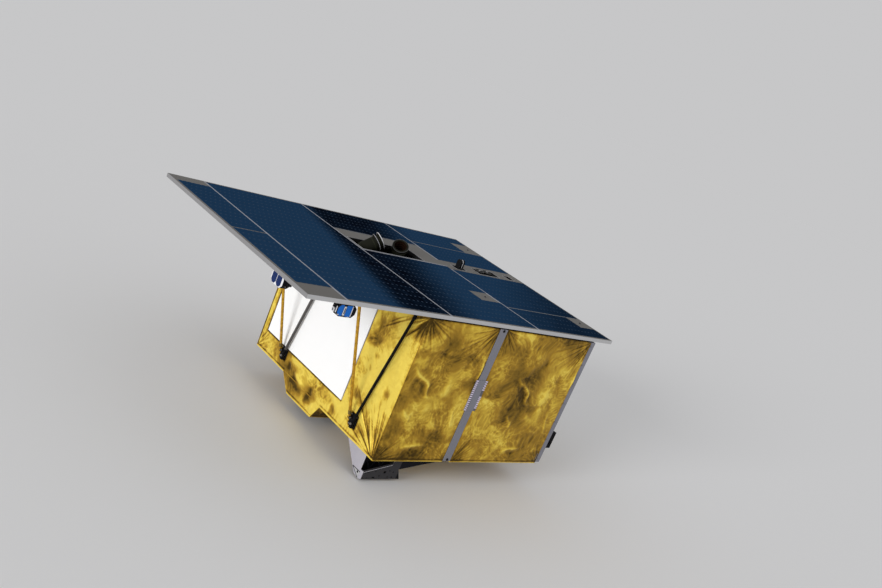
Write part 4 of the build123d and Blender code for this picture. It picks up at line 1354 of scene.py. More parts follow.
# A fold's shade is painted light and shade. The first fold, with no height, is a wide painted highlight near
# the sheet's near edge, and the fold from 1.640 to 0.500, also without height, is a painted shade band over
# the lower strip.
END_FOLDS = (
    Fold(((0.300, 0.020), (0.200, 0.400), (0.150, 0.900)), 0.260, 0.0, 0.16),
    Fold(((0.130, 0.250), (0.070, 0.500), (0.070, 0.860)), 0.070, 0.004, 0.50),
    Fold(((0.180, 0.100), (0.297, 0.182), (0.440, 0.285)), 0.006, -0.004, -1.00),
    Fold(((0.200, 0.085), (0.290, 0.145), (0.386, 0.222)), 0.005, -0.003, -0.90),
    Fold(((0.023, 0.024), (0.100, 0.148), (0.170, 0.231)), 0.009, -0.005, -1.00),
    Fold(((0.027, 0.037), (0.052, 0.128), (0.067, 0.198)), 0.012, -0.005, -0.90),
    Fold(((0.010, 0.020), (0.016, 0.110), (0.018, 0.210)), 0.010, -0.004, -0.90),
    Fold(((0.540, 0.400), (0.432, 0.387), (0.341, 0.323)), 0.080, -0.008, -0.72),
    Fold(((0.520, 0.200), (0.470, 0.240), (0.430, 0.330)), 0.070, -0.006, -0.60),
    Fold(((0.150, 0.640), (0.110, 0.655), (0.070, 0.672)), 0.080, -0.007, -0.50),
    Fold(((0.430, 0.585), (0.395, 0.612), (0.375, 0.640)), 0.060, -0.006, -0.56),
    Fold(((0.410, 0.500), (0.360, 0.490), (0.320, 0.480)), 0.046, -0.005, -0.46),
    Fold(((0.490, 0.810), (0.440, 0.860), (0.400, 0.900)), 0.050, -0.006, -0.56),
    Fold(((0.260, 0.500), (0.230, 0.600), (0.250, 0.720)), 0.044, 0.008, 0.30),
    Fold(((0.479, 0.766), (0.372, 0.835), (0.208, 0.969), (0.028, 1.116)), 0.006, -0.005, -0.55),
    Fold(((1.731, 0.975), (1.765, 1.035), (1.798, 1.094)), 0.008, -0.006, -0.80),
    Fold(((1.640, 1.090), (1.100, 1.130), (0.500, 1.080)), 0.160, 0.0, -0.46),
    Fold(((1.335, 1.035), (1.300, 1.075), (1.278, 1.112)), 0.030, -0.007, -0.50),
    Fold(((1.215, 1.150), (1.150, 1.175), (1.073, 1.191), (1.020, 1.215)), 0.044, -0.008, -0.55),
    Fold(((0.960, 1.080), (0.925, 1.120), (0.943, 1.190), (0.930, 1.230)), 0.040, -0.008, -0.60),
    Fold(((0.640, 1.070), (0.593, 1.091), (0.550, 1.120)), 0.044, -0.008, -0.58),
    Fold(((1.200, 1.080), (1.132, 1.106), (1.060, 1.110)), 0.026, 0.010, 0.60),
    Fold(((1.310, 0.975), (1.250, 1.000), (1.154, 1.012)), 0.026, 0.008, 0.45),
    Fold(((0.900, 1.000), (0.857, 1.017), (0.810, 1.020)), 0.026, 0.008, 0.48),
    Fold(((0.620, 1.010), (0.560, 1.020), (0.520, 1.060)), 0.028, 0.008, 0.48),
    Fold(((0.860, 1.160), (0.840, 1.200), (0.850, 1.250)), 0.026, 0.008, 0.44),
    Fold(((1.756, 0.080), (1.750, 0.500), (1.757, 0.990)), 0.007, -0.005, -0.70),
    Fold(((1.795, 0.060), (1.790, 0.500), (1.800, 1.020)), 0.012, 0.006, 0.50),
    Fold(((1.815, 0.200), (1.812, 0.600), (1.816, 1.040)), 0.006, -0.004, -0.45),
)
HOOD_FOLDS = (
    Fold(((0.05, 0.03), (0.12, 0.06), (0.10, 0.11)), 0.014, -0.001, -0.3),
    Fold(((0.20, 0.02), (0.23, 0.07), (0.20, 0.12)), 0.016, -0.001, -0.3),
    Fold(((0.30, 0.03), (0.32, 0.08), (0.31, 0.12)), 0.012, 0.002, 0.3),
)


@dataclass
class HoodCover:
    """Foil over the hood's inner and sloping walls. Its end wall is covered by the end blanket."""

    mouth: Point = (-0.080, 0.300)
    top_gap: float = 0.0125

    def build(self) -> None:
        """Makes one foil sheet on each of the three walls."""
        low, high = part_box("hood")
        share = self.top_gap / (high.z - low.z)
        upper = tuple(top + (end - top) * share for top, end in zip((low.y, high.y), self.mouth))
        levels = ((upper, high.z - self.top_gap), (self.mouth, low.z))
        look = {"folds": HOOD_FOLDS, "proud": 0.0012, "rim": 0.010, "hem": 0.003, "swell": 0.002,
                "mottle_size": 0.10}
        corners = [Vector((high.x, y, z)) for ys, z in levels for y in ys]
        FoilSheet("foil_hood_inner", corners, RIGHT, 0.0, 53, **look).make()
        # The near wall's low tone, 0.20 against the far wall's 0.44, is painted shade.
        for name, side, xs, tone in (("near", 0, (low.x, high.x), 0.20), ("far", 1, (high.x, low.x), 0.44)):
            slope = Vector((0.0, self.mouth[side] - (low.y, high.y)[side], low.z - high.z))
            outward = slope.cross(RIGHT).normalized()
            if outward.y * (side - 0.5) < 0.0:
                outward.negate()
            corners = [Vector((x, ys[side], z)) for ys, z in levels for x in xs]
            FoilSheet(f"foil_hood_{name}", corners, outward, 0.0, 59, tone=tone, **look).make()


HOOD = HoodCover()


@dataclass
class Blankets:
    """All foil blankets of the box, each in the room of its CAD solid."""

    grid: float = 0.0056
    end_grid: float = 0.0053
    hidden_grid: float = 0.0075
    bottom_grid: float = 0.0095
    panel_gap: float = 0.006
    foot_gap: float = 0.001
    bottom_gap: float = 0.0003
    lap: float = 0.030
    lap_proud: float = 0.0040

    def side(self, low: Vector, high: Vector, outward: Vector) -> list[Vector]:
        """Finds the corners of an upright blanket's outer face, seen from outside.

        Args:
            low: lowest corner of the blanket.
            high: highest corner of the blanket.
            outward: unit vector out of the box.

        Returns:
            Upper left, upper right, lower left and lower right corner.
        """
        right = UP.cross(outward)
        corners = []
        for z in (high.z, low.z):
            for way in (outward - right, outward + right):
                corners.append(Vector((*(high[k] if way[k] > 0.5 else low[k] for k in range(2)), z)))
        return corners

    def upright(self, node: str, outward: Vector, seed: int, grid: float) -> None:
        """Makes one upright blanket with the bays' folds.

        Args:
            node: CAD node that it stands for.
            outward: unit vector out of the box.
            seed: number that fixes its folds.
            grid: distance between its grid lines.
        """
        low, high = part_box(node)
        corners = self.side(low, high, outward)
        proud, tone = 0.0, 0.43
        if node.endswith(("front_right", "rear_right")):
            proud, tone = self.lap_proud, 0.375
            for corner in corners:
                corner.x += self.lap if abs(corner.x - high.x) < MM else 0.0
        FoilSheet(f"foil_{node}", corners, outward, abs((high - low).dot(outward)), seed, fans=BAY_FANS,
                  folds=BAY_FOLDS, grid=grid, proud=proud, tone=tone).make(node)

    def build(self) -> None:
        """Makes every blanket."""
        faces = ("front", FRONT, 11, self.grid), ("rear", REAR, 23, self.hidden_grid)
        for name, outward, seed, grid in faces:
            for extra, place in enumerate(("left", "right")):
                self.upright(f"quilt_{name}_{place}", outward, seed + extra, grid)
        self.end()
        self.upright("quilt_right", RIGHT, 41, self.hidden_grid)
        self.bottom()

    def end(self) -> None:
        """Makes the blanket round the radiator, in one sheet with the hood's end wall."""
        low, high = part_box("quilt_end")
        hood_low, hood_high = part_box("hood")
        windows = []
        for name, gap in (("radiator", self.panel_gap), ("strut_foot_near", self.foot_gap),
                          ("strut_foot_far", self.foot_gap)):
            hole_low, hole_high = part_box(name)
            top = -1.0 if name == "radiator" else high.z - hole_high.z - gap
            windows.append(Window(high.y - hole_high.y - gap, high.y - hole_low.y + gap, top,
                                  high.z - hole_low.z + gap))
        tongue = Tongue(high.z - low.z, high.y - hood_high.y, high.y - hood_low.y, high.y - HOOD.mouth[1],
                        high.y - HOOD.mouth[0])
        corners = self.side(Vector((low.x, low.y, hood_low.z)), high, LEFT)
        # The end sheet's high tone paints it brighter than the bays: painted light, as on a lit face.
        FoilSheet("foil_quilt_end", corners, LEFT, high.x - low.x, 37, fans=END_FANS, folds=END_FOLDS,
                  windows=tuple(windows), tongue=tongue, grid=self.end_grid, tone=0.80, contrast=1.25,
                  painted_rim_highlight_and_shadow=0.7).make("quilt_end")

    def bottom(self) -> None:
        """Makes the blanket under the box, cut out for the ring and the hood."""
        low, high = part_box("quilt_bottom")
        ring, hood = ([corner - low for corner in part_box(name)] for name in ("adapter_ring", "hood"))
        gap = self.bottom_gap
        windows = (Window(ring[0].x - gap, ring[1].x + gap, ring[0].y - gap, ring[1].y + gap, round=True),
                   Window(-1.0, hood[1].x + gap, hood[0].y - gap, hood[1].y + gap))
        turns = (0.0, 0.0, 0.0), (1.0, 0.0, 90.0), (1.0, 1.0, 180.0), (0.0, 1.0, 270.0)
        fans = tuple(Fan((x, y), turn + 8.0, turn + 82.0, 9, 0.40, 0.006) for x, y, turn in turns)
        corners = [Vector((x, y, low.z)) for y in (low.y, high.y) for x in (low.x, high.x)]
        FoilSheet("foil_quilt_bottom", corners, DOWN, high.z - low.z, 43, fans=fans, windows=windows,
                  grid=self.bottom_grid, swell=0.004).make("quilt_bottom")


@dataclass
class SolarArray:
    """Cells, carrier and grey lines of the array. Lengths are in metres from its left and near edges."""

    rim: float = 0.014
    columns: tuple[float, float, float] = (0.310, 1.240, 2.170)
    pitch: Point = (0.0425, 0.0883)
    gap: float = 0.0010
    crop: float = 0.0092
    field_gap: float = 0.016
    line_width: float = 0.0145
    thin_line: float = 0.0055
    patches: tuple[tuple[float, float, float, float], ...] = (
        (1.955, 2.180, 0.475, 0.635),
        (2.900, 3.100, 0.200, 0.410),
        (2.880, 3.100, 1.780, 2.000),
    )
    seed: int = 5

    def __post_init__(self) -> None:
        """Reads the array's place and lists its cell fields."""
        self.low, self.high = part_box("array_panel")
        self.length, self.width = self.high.x - self.low.x, self.high.y - self.low.y
        (a, b, c), rim = self.columns, self.rim
        end_x, end_y = self.length - rim, self.width - rim
        self.fields = [
            (rim, a, 0.180, 1.100), (rim, a, 1.100, 2.050), (a, b, rim, end_y), (b, c, rim, 1.195),
            (b, c, 1.645, end_y), (c, end_x, rim, 0.400), (c, end_x, 0.400, 1.140), (c, end_x, 1.330, 1.750),
            (c, end_x, 1.750, end_y),
        ]

    def painted_reflection(self, u: float, v: float) -> float:
        """Gives the broad bands of painted reflection over the array: a large soft change of the cells' tone.

        Args:
            u: place along the length.
            v: place along the width.

        Returns:
            Tone from 0, nearly black, to 1, mid blue.
        """
        first = smooth_step((u - 0.66 - 0.235 * v) / 0.22) * (1.0 - smooth_step((u - 1.05 - 0.39 * v) / 0.62))
        return 0.96 - 0.90 * first - 0.62 * smooth_step((u - 1.55 - 0.85 * v) / 1.15)

    def build(self) -> None:
        """Makes the cells and everything that lies flat on the array."""
        draw = np.random.default_rng(self.seed)
        bottom, top = (corner.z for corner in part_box("solar_cells"))
        carrier_t = (top - bottom) * 0.35
        cells, carrier, tones = Shape(), Shape(), []
        for u0, u1, v0, v1 in self.fields:
            across, down = u1 - u0 - self.field_gap, v1 - v0 - self.field_gap
            columns, rows = round(across / self.pitch[0]), round(down / self.pitch[1])
            step_x, step_y = across / columns, down / rows
            for column in range(columns):
                for row in range(rows):
                    u = u0 + self.field_gap / 2 + (column + 0.5) * step_x
                    v = v0 + self.field_gap / 2 + (row + 0.5) * step_y
                    if any(p0 < u < p1 and q0 < v < q1 for p0, p1, q0, q1 in self.patches):
                        continue
                    place = at(self.low.x + u, self.low.y + v, bottom)
                    before = len(cells.faces)
                    outline = block(step_x - self.gap, step_y - self.gap, self.crop)
                    cells.plate(outline, carrier_t, top - bottom, place, 0.0003)
                    carrier.plate(block(step_x, step_y), 0.0, carrier_t, place)
                    # Painted reflection bands, plus each cell's own small random difference.
                    tone = self.painted_reflection(u, v) + draw.uniform(-0.05, 0.05)
                    tones += [tone] * (len(cells.faces) - before)
        piece = cells.make("solar_cell_tiles", Slot.CELL_BLUE, smooth_below=5.0)
        piece.data.attributes.new("cell_tone_and_reflection", "FLOAT", "FACE").data.foreach_set("value", tones)
        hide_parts("solar_cells")
        carrier.make("cell_carrier", Slot.ARRAY_GREY, CARRIER)
        self.lines(bottom)

    def lines(self, top: float) -> None:
        """Makes the light lines between the fields and round the bare band.

        Args:
            top: height of the array's upper face.
        """
        (a, b, c), width = self.columns, self.width
        wide = [(a, a, 0.0, width), (b, b, 0.0, width), (c, c, 0.0, 1.140), (c, c, 1.330, width),
                (b, c, 1.195, 1.195)]
        thin = [(c, self.length, 0.400, 0.400), (c, self.length, 1.750, 1.750), (b, c, 1.645, 1.645)]
        for name, runs, across, finish in (("cell_column_lines", wide, self.line_width, LINE),
                                           ("cell_cross_lines", thin, self.thin_line, THIN_LINE)):
            strips = Shape()
            for u0, u1, v0, v1 in runs:
                middle = at(self.low.x + (u0 + u1) / 2, self.low.y + (v0 + v1) / 2, top)
                outline = block(max(u1 - u0, across), max(v1 - v0, across), 0.001)
                strips.plate(outline, 0.0, 0.0012, middle, 0.0003)
            strips.make(name, Slot.ARRAY_GREY, finish)


@dataclass
class StrutTrim:
    """Eye bolts, end collars and film wraps of the four struts."""

    eye_r: float = 0.013
    ear_face: float = 0.0093
    rod_r: float = 0.011
    collar: Point = (0.0285, 0.0625)
    wrap_t: float = 0.0011
    wrap_step: float = 0.006
    sides: int = 28
    head_bolt: Bolt = Bolt(0.0095, 0.0015, 0.0082, 0.0060)
    nut: Bolt = Bolt(0.0095, 0.0015, 0.0082, 0.0052, 0.0042)

    def eyes(self, name: str) -> tuple[Vector, Vector, Vector]:
        """Finds a strut's two eyes from its box.

        Args:
            name: the strut's CAD node.

        Returns:
            Middle of the foot eye, middle of the head eye and direction of the pins.
        """
        low, high, middle = span(name)
        r = self.eye_r
        if name.startswith("gold"):
            return Vector((high.x - r, middle.y, low.z + r)), Vector((low.x + r, middle.y, high.z - r)), REAR
        return Vector((middle.x, high.y - r, low.z + r)), Vector((middle.x, low.y + r, high.z - r)), RIGHT

    def build(self) -> None:
        """Makes the trim of every strut."""
        bolts = Shape()
        (start, end), r = self.collar, self.rod_r
        profile = [(r - 0.001, start), (r + 0.0012, start), (r + 0.0024, start + 0.002),
                   (r + 0.0024, start + 0.012), (r + 0.0014, start + 0.013), (r + 0.0014, start + 0.016),
                   (r + 0.0024, start + 0.017), (r + 0.0024, end - 0.006), (r + 0.0006, end),
                   (r - 0.001, end)]
        for kind, slot in (("gold", Slot.GOLD_WRAP), ("black", Slot.CARBON_BLACK)):
            collars = Shape()
            for index, side in enumerate(("near", "far")):
                foot, head, across = self.eyes(f"{kind}_strut_{side}")
                for eye, way in ((foot, head - foot), (head, foot - head)):
                    self.head_bolt.put(bolts, standing(eye - across * self.ear_face, -across))
                    self.nut.put(bolts, standing(eye + across * self.ear_face, across))
                    collars.turned(profile, 24, standing(eye, way, across))
                if kind == "gold":
                    self.wrap(f"gold_wrap_{side}", foot, head, 71 + index)
                elif side == "far":
                    # The far black strut gets a grey sleeve of painted light.
                    self.painted_light_sleeve(foot, head)
            collars.make(f"{kind}_strut_collars", slot, COLLARS[kind])
        bolts.make("strut_eye_bolts", Slot.BARE_METAL, FIXING)

    def painted_light_sleeve(self, foot: Vector, head: Vector) -> None:
        """Makes a grey sleeve over the far black strut: painted light, the black strut drawn grey where it
        stands lit in front of the radiator.

        Args:
            foot: middle of the foot eye.
            head: middle of the head eye.
        """
        shape, margin, r, length = Shape(), self.collar[1], self.rod_r, (head - foot).length
        profile = [(r - 0.0004, margin), (r + 0.0003, margin + 0.001), (r + 0.0003, length - margin - 0.001),
                   (r - 0.0004, length - margin)]
        shape.turned(profile, self.sides, standing(foot, head - foot, RIGHT))
        shape.make("far_strut_painted_light_sleeve", Slot.CARBON_BLACK, PAINTED_LIGHT_GREY)

    def wrap(self, name: str, foot: Vector, head: Vector, seed: int) -> None:
        """Makes the crinkled film round one rod.

        Args:
            name: the piece's name.
            foot: middle of the foot eye.
            head: middle of the head eye.
            seed: number that fixes its wrinkles.
        """
        length, sides, margin, noise = (head - foot).length, self.sides, self.collar[1], SoftNoise(seed)
        rings = round((length - 2 * margin) / self.wrap_step)
        levels = np.linspace(margin, length - margin, rings + 1)
        turn, along = np.meshgrid(np.arange(sides) * math.tau / sides, levels)
        lap = (along + 0.011 * turn) % 0.069 / 0.069
        seam = 1.0 - np.abs(turn / math.pi - 1.0) ** 6
        ripple = noise.layered(turn * 0.011 + along * 0.12, along, 0.012, 2) * seam
        radius = self.rod_r + self.wrap_t * (0.35 + 0.5 * ripple + 0.35 * (lap > 0.94))
        radius[0] = radius[-1] = self.rod_r - 0.0004
        points = np.stack([radius * np.cos(turn), radius * np.sin(turn), along], axis=-1).reshape(-1, 3)
        faces = [(row + side, row + (side + 1) % sides, row + sides + (side + 1) % sides, row + sides + side)
                 for row in range(0, rings * sides, sides) for side in range(sides)]
        shape = Shape()
        shape.add(points.tolist(), faces, standing(foot, head - foot, REAR))
        shape.make(name, Slot.GOLD_WRAP, smooth_below=50.0)


@dataclass
class FootTrim:
    """Screws of the strut feet and of the head plates."""

    boss_front: float = 0.0040
    plate_drop: float = 0.051
    screws: tuple[Point, ...] = ((0.033, 0.040), (0.033, -0.040), (-0.033, 0.040), (0.0, -0.043))
    head_step: float = 0.031
    head_t: float = 0.006
    bolt: Bolt = Bolt(0.0062, 0.0010, 0.0050, 0.0035)

    def build(self) -> None:
        """Makes the screws of both feet and of the four head plates."""
        shape = Shape()
        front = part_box("quilt_end")[0].x - self.boss_front
        for side in ("near", "far"):
            _, high, middle = span(f"strut_foot_{side}")
            self.bolt.put(shape, *(standing((front, middle.y + y, high.z - self.plate_drop + z), LEFT)
                                   for y, z in self.screws))
        for name in ("gold_near", "gold_far", "black_near", "black_far"):
            low, high, middle = span(f"strut_head_{name}")
            way = RIGHT if high.x - low.x > high.y - low.y else REAR
            middle.z = high.z - self.head_t
            steps = (-self.head_step, self.head_step)
            self.bolt.put(shape, *(standing(middle + way * step, DOWN, REAR) for step in steps))
        shape.make("foot_and_head_screws", Slot.BARE_METAL, FIXING)


@dataclass
class SensorTrim:
    """Windows, frames and small fittings of the two sensor heads under the overhang."""

    head_w: float = 0.150
    head_h: float = 0.088
    corner: float = 0.024
    screw: Bolt = Bolt(0.0045, 0.0008, 0.0036, 0.0025)

    def build(self) -> None:
        """Makes the fittings of both heads."""
        self.near()
        self.end()

    def cover(self, name: str, finish: Finish | None, place: Matrix) -> None:
        """Makes the thin plate over a head's front.

        Args:
            name: the piece's name.
            finish: its finish, or None for the slot's own.
            place: middle of the head's front.
        """
        plate = Shape()
        plate.plate(block(self.head_w, self.head_h, self.corner), 0.0, 0.0012, place, 0.0004)
        plate.make(name, Slot.SENSOR_HOUSING, finish)

    def near(self) -> None:
        """Makes the near head's bright panes, separator, strips and side fittings."""
        low, _, middle = span("sensor_head_near")
        x, y, z = middle.x, low.y, low.z + self.head_h / 2
        place, side = standing((x, y, z), FRONT), standing((x - self.head_w / 2, y + 0.030, z), LEFT)
        self.cover("near_head_cover", None, place)
        panes, strips, dark, cap = Shape(), Shape(), Shape(), Shape()
        first = [(-0.070, -0.018), (-0.050, -0.038), (-0.029, -0.038), (-0.029, 0.038), (-0.050, 0.038),
                 (-0.070, 0.018)]
        panes.plate(first, 0.0012, 0.0030, place, 0.0006)
        panes.tiles(place, (0.043, 0.076, 0.004, 0.0155, 0.0, 0.0012, 0.0030, 0.0006))
        panes.make("near_head_panes", Slot.SENSOR_HOUSING, PANE_BLUE)
        strips.tiles(place, (0.015, 0.062, 0.002, -0.0175, -0.002, 0.0012, 0.0040, 0.0005),
                     (0.0045, 0.074, 0.001, 0.0410, 0.0, 0.0012, 0.0036, 0.0004),
                     (0.018, 0.004, 0.001, -0.0600, -0.0300, 0.0012, 0.0036, 0.0004),
                     (0.016, 0.0035, 0.001, 0.026, -0.0405, 0.0012, 0.0036, 0.0004))
        strips.tiles(side, (0.022, 0.030, 0.003, -0.004, -0.012, 0.0, 0.0090, 0.0010),
                     (0.006, 0.044, 0.001, 0.022, 0.0, 0.0, 0.0030, 0.0005))
        strips.make("near_head_strips", Slot.SENSOR_HOUSING, WHITE_TRIM)
        dark.tiles(place, (0.008, 0.040, 0.001, -0.0175, -0.002, 0.0040, 0.0058, 0.0006))
        dark.tiles(side, (0.012, 0.018, 0.002, -0.004, -0.012, 0.0090, 0.0105, 0.0006))
        dark.make("near_head_inlays", Slot.SENSOR_HOUSING, GREY_INLAY)
        profile = [(0.0, 0.0), (0.0140, 0.0), (0.0140, 0.009), (0.0115, 0.013), (0.0060, 0.013),
                   (0.0055, 0.010), (0.0, 0.010)]
        cap.turned(profile, 24, side @ at(0.006, 0.026, 0.0), closed=False)
        cap.make("near_head_cap", Slot.BLACK_FITTING)

    def end(self) -> None:
        """Makes the end head's two dark capsule panes on their white frame."""
        low, _, middle = span("sensor_head_end")
        x, y, z = low.x, middle.y, low.z + self.head_h / 2
        place, side = standing((x, y, z), LEFT), standing((x + 0.035, y - self.head_w / 2, z), FRONT)
        self.cover("end_head_frame", WHITE_TRIM, place)
        panes, mount, specks = Shape(), Shape(), Shape()
        panes.tiles(place, *((0.0565, 0.083, 0.017, across, 0.0, 0.0012, 0.0032, 0.0007)
                             for across in (-0.0355, 0.0270)))
        panes.make("end_head_panes", Slot.SENSOR_HOUSING, PANE_DARK)
        mount.tiles(side, (0.034, 0.040, 0.004, 0.012, 0.006, 0.0, 0.014, 0.0015),
                    (0.020, 0.016, 0.003, -0.012, -0.020, 0.0, 0.008, 0.0010))
        mount.make("end_head_mount", Slot.BLACK_FITTING)
        self.screw.put(specks, side @ at(0.006, 0.012, 0.014), side @ at(-0.014, -0.020, 0.008))
        specks.make("end_head_screws", Slot.BARE_METAL, FIXING)


@dataclass
class TrackerTrim:
    """Lips, light traps, lenses and bands of the star trackers."""

    mouths: tuple[tuple[str, Colour, Colour], ...] = (
        ("left", (-0.4703, 0.429, 1.466), (0.74, -0.18, 0.65)),
        ("right", (-0.2543, 0.423, 1.456), (-0.42, -0.42, 0.80)),
    )
    ring_r: float = 0.069
    inner_r: float = 0.053
    tube_r: float = 0.056
    depth: float = 0.120
    clamp_top: float = -0.036
    clamp_t: float = 0.004
    sides: int = 48
    screw_r: float = 0.0625
    screw: Bolt = Bolt(0.0030, 0.0005, 0.0024, 0.0016)

    def build(self) -> None:
        """Makes the trim of both trackers."""
        lips = {"left": Shape(), "right": Shape()}
        bands, rings, vanes, liners, lenses, screws = (Shape() for _ in range(6))
        r, wall, tube, top, floor = self.ring_r, self.inner_r, self.tube_r, self.clamp_top, -self.depth
        lip = [(r, 0.0), (r, -0.0040), (r - 0.0022, -0.0040), (r - 0.0022, -0.0049), (r + 0.0009, -0.0049),
               (r + 0.0009, 0.0009), (r - 0.0022, 0.0009), (r - 0.0022, 0.0)]
        clamp = [(r + 0.0007, top), (r + 0.0007, top - self.clamp_t), (r, top - self.clamp_t), (r, top)]
        liner = [(wall - 0.0004, -0.001), (wall - 0.0004, floor), (wall, floor), (wall, -0.001)]
        for side, mouth, looking in self.mouths:
            place = standing(mouth, Vector(looking))
            lips[side].turned(lip, self.sides, place)
            # Painted light: the left clamp ring goes with the light rings, the right one with the dark bands.
            (rings if side == "left" else bands).turned(clamp, self.sides, place)
            for level in (-0.180, -0.070):
                bands.turned([(tube, level - 0.005), (tube + 0.0012, level - 0.004),
                              (tube + 0.0012, level + 0.004), (tube, level + 0.005)], self.sides, place)
            for step in range(1, 5):
                z, inner = -0.024 * step, 0.0475 - 0.0016 * step
                vanes.turned([(inner, z + 0.0004), (inner + 0.002, z - 0.0008), (wall, z - 0.0012),
                              (wall, z + 0.0006)], self.sides, place)
            liners.turned(liner, self.sides, place)
            self.lens(lenses, vanes, place)
            self.screw.put(screws, *(place @ Matrix.Rotation(math.tau * (step + 0.5) / 12, 4, "Z")
                                     @ at(self.screw_r, 0.0, 0.0) for step in range(12)))
        # Painted light and shade: the left lip is painted bright as the lit one, the right lip grey as the
        # shaded one.
        for side, finish in (("left", PAINTED_LIT_METAL), ("right", RIM_GREY)):
            lips[side].make(f"tracker_lip_{side}", Slot.BARE_METAL, finish)
        bands.make("tracker_bands", Slot.BAFFLE_BLACK, OLIVE_DARK)
        rings.make("tracker_clamp_ring", Slot.BAFFLE_BLACK, FRAME_LIGHT)
        vanes.make("tracker_light_traps", Slot.BAFFLE_BLACK, BROWN_DARK)
        liners.make("tracker_liners", Slot.BAFFLE_BLACK, BROWN_DARK)
        lenses.make("tracker_lenses", Slot.SENSOR_HOUSING, LENS)
        screws.make("tracker_ring_screws", Slot.BLACK_FITTING)

    def lens(self, glass: Shape, holder: Shape, place: Matrix) -> None:
        """Adds the lens and its holder at the bottom of the baffle.

        Args:
            glass: shape of the lenses.
            holder: shape of the holders.
            place: the mouth's place.
        """
        floor = -self.depth
        turns = [step * 0.2 for step in range(8)]
        profile = [(0.030 * math.sin(turn), floor + 0.004 + 0.006 * math.cos(turn)) for turn in turns]
        profile[0] = (0.0002, profile[0][1])
        glass.turned([*profile, (profile[-1][0], floor)][::-1], 32, place, closed=False)
        seat = [(0.0300, floor), (0.0360, floor), (0.0345, floor + 0.010), (0.0305, floor + 0.010)]
        holder.turned(seat, 32, place)


@dataclass
class DeckTrim:
    """Frames round the array's openings, the post's white side, antenna rims and bolts on bare patches.

    Lengths are in metres from the array's left and near edges. A slot has its middle and two sizes.
    """

    slots: tuple[tuple[float, float, float, float], ...] = (
        (1.595, 1.337, 0.654, 0.244),
        (2.325, 1.214, 0.110, 0.096),
        (2.666, 1.221, 0.252, 0.120),
        (2.956, 1.207, 0.072, 0.090),
    )
    frame_w: float = 0.0035
    frame_t: float = 0.0012
    patch_bolts: tuple[Point, ...] = ((2.064, 0.554), (2.992, 0.300), (2.992, 1.863))
    patch_bolt: Bolt = Bolt(0.0090, 0.0012, 0.0080, 0.0045)
    cap_bolt: Bolt = Bolt(0.0030, 0.0005, 0.0024, 0.0016)

    def build(self) -> None:
        """Makes everything small on the deck."""
        self.low, self.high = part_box("array_panel")
        self.frames()
        self.post()
        self.antennas()
        self.bolts()

    def spot(self, u: float, v: float) -> Matrix:
        """Place over a point of the array's upper face."""
        return at(self.low.x + u, self.low.y + v, self.high.z)

    def frames(self) -> None:
        """Makes the light frames round the openings."""
        shape, w = Shape(), self.frame_w
        for u, v, across, down in self.slots:
            for side in (-1, 1):
                for outline, place in ((block(across + 2 * w, w), self.spot(u, v + side * (down + w) / 2)),
                                       (block(w, down), self.spot(u + side * (across + w) / 2, v))):
                    shape.plate(outline, 0.0, self.frame_t, place, 0.0003)
        shape.make("opening_frames", Slot.ARRAY_GREY, FRAME_LIGHT)

    def post(self) -> None:
        """Makes the white lining between the sun sensor post's plates, its slit caps and its screws."""
        low, high, middle = span("sensor_post")
        half = (high.y - low.y) / 2
        z, r = high.z - half, half * 0.92
        outline = [(r * math.cos(math.pi * k / 12), r * math.sin(math.pi * k / 12)) for k in range(13)]
        lining, caps = Shape(), Shape()
        lining.plate([*outline, (-r, -0.046), (r, -0.046)], -0.0004, 0.0012,
                     standing((middle.x + 0.0068, middle.y, z), LEFT), 0.0004)
        lining.make("post_lining", Slot.BLACK_FITTING, WHITE_TRIM)
        for outward in (LEFT, RIGHT):
            outer = standing((middle.x + outward.x * 0.023, middle.y, z), outward)
            caps.tiles(outer, (0.022, 0.030, 0.004, 0.0, -0.004, 0.0, 0.0020, 0.0006))
            spots = ((x, y, 0.0) for y in (0.006, -0.030) for x in (-0.017, 0.017))
            self.cap_bolt.put(caps, *(outer @ at(*spot) for spot in spots))
        caps.make("post_caps", Slot.BLACK_FITTING)

    def antennas(self) -> None:
        """Makes the antennas' light rims and their middle contacts."""
        rims, contacts = Shape(), Shape()
        for side in ("left", "right"):
            low, high, middle = span(f"antenna_{side}")
            r = (high.x - low.x) / 2
            rim = [(r - 0.0035, 0.0), (r + 0.0010, 0.0), (r + 0.0010, 0.0022), (r - 0.0035, 0.0030)]
            rims.turned(rim, 40, at(middle.x, middle.y, high.z - 0.005))
            upper = at(middle.x, middle.y, high.z)
            rims.turned([(0.0262, 0.0), (0.0282, 0.0), (0.0282, 0.0010), (0.0262, 0.0014)], 32, upper)
            contacts.plate(block(0.020, 0.020, 0.005), 0.0, 0.0022, upper, 0.0008)
        rims.make("antenna_rims", Slot.ANTENNA_BLACK, RIM_GREY)
        contacts.make("antenna_contacts", Slot.ANTENNA_BLACK, FRAME_LIGHT)

    def bolts(self) -> None:
        """Makes the fixing bolts on the bare patches, each in a dark recessed washer."""
        shape, cups = Shape(), Shape()
        for u, v in self.patch_bolts:
            cup = [(0.0090, 0.0), (0.0150, 0.0), (0.0150, 0.0010), (0.0090, 0.0016)]
            cups.turned(cup, 28, self.spot(u, v))
            self.patch_bolt.put(shape, self.spot(u, v))
        cups.make("patch_washers", Slot.ARRAY_GREY, GREY_INLAY)
        shape.make("patch_bolts", Slot.BLACK_FITTING)


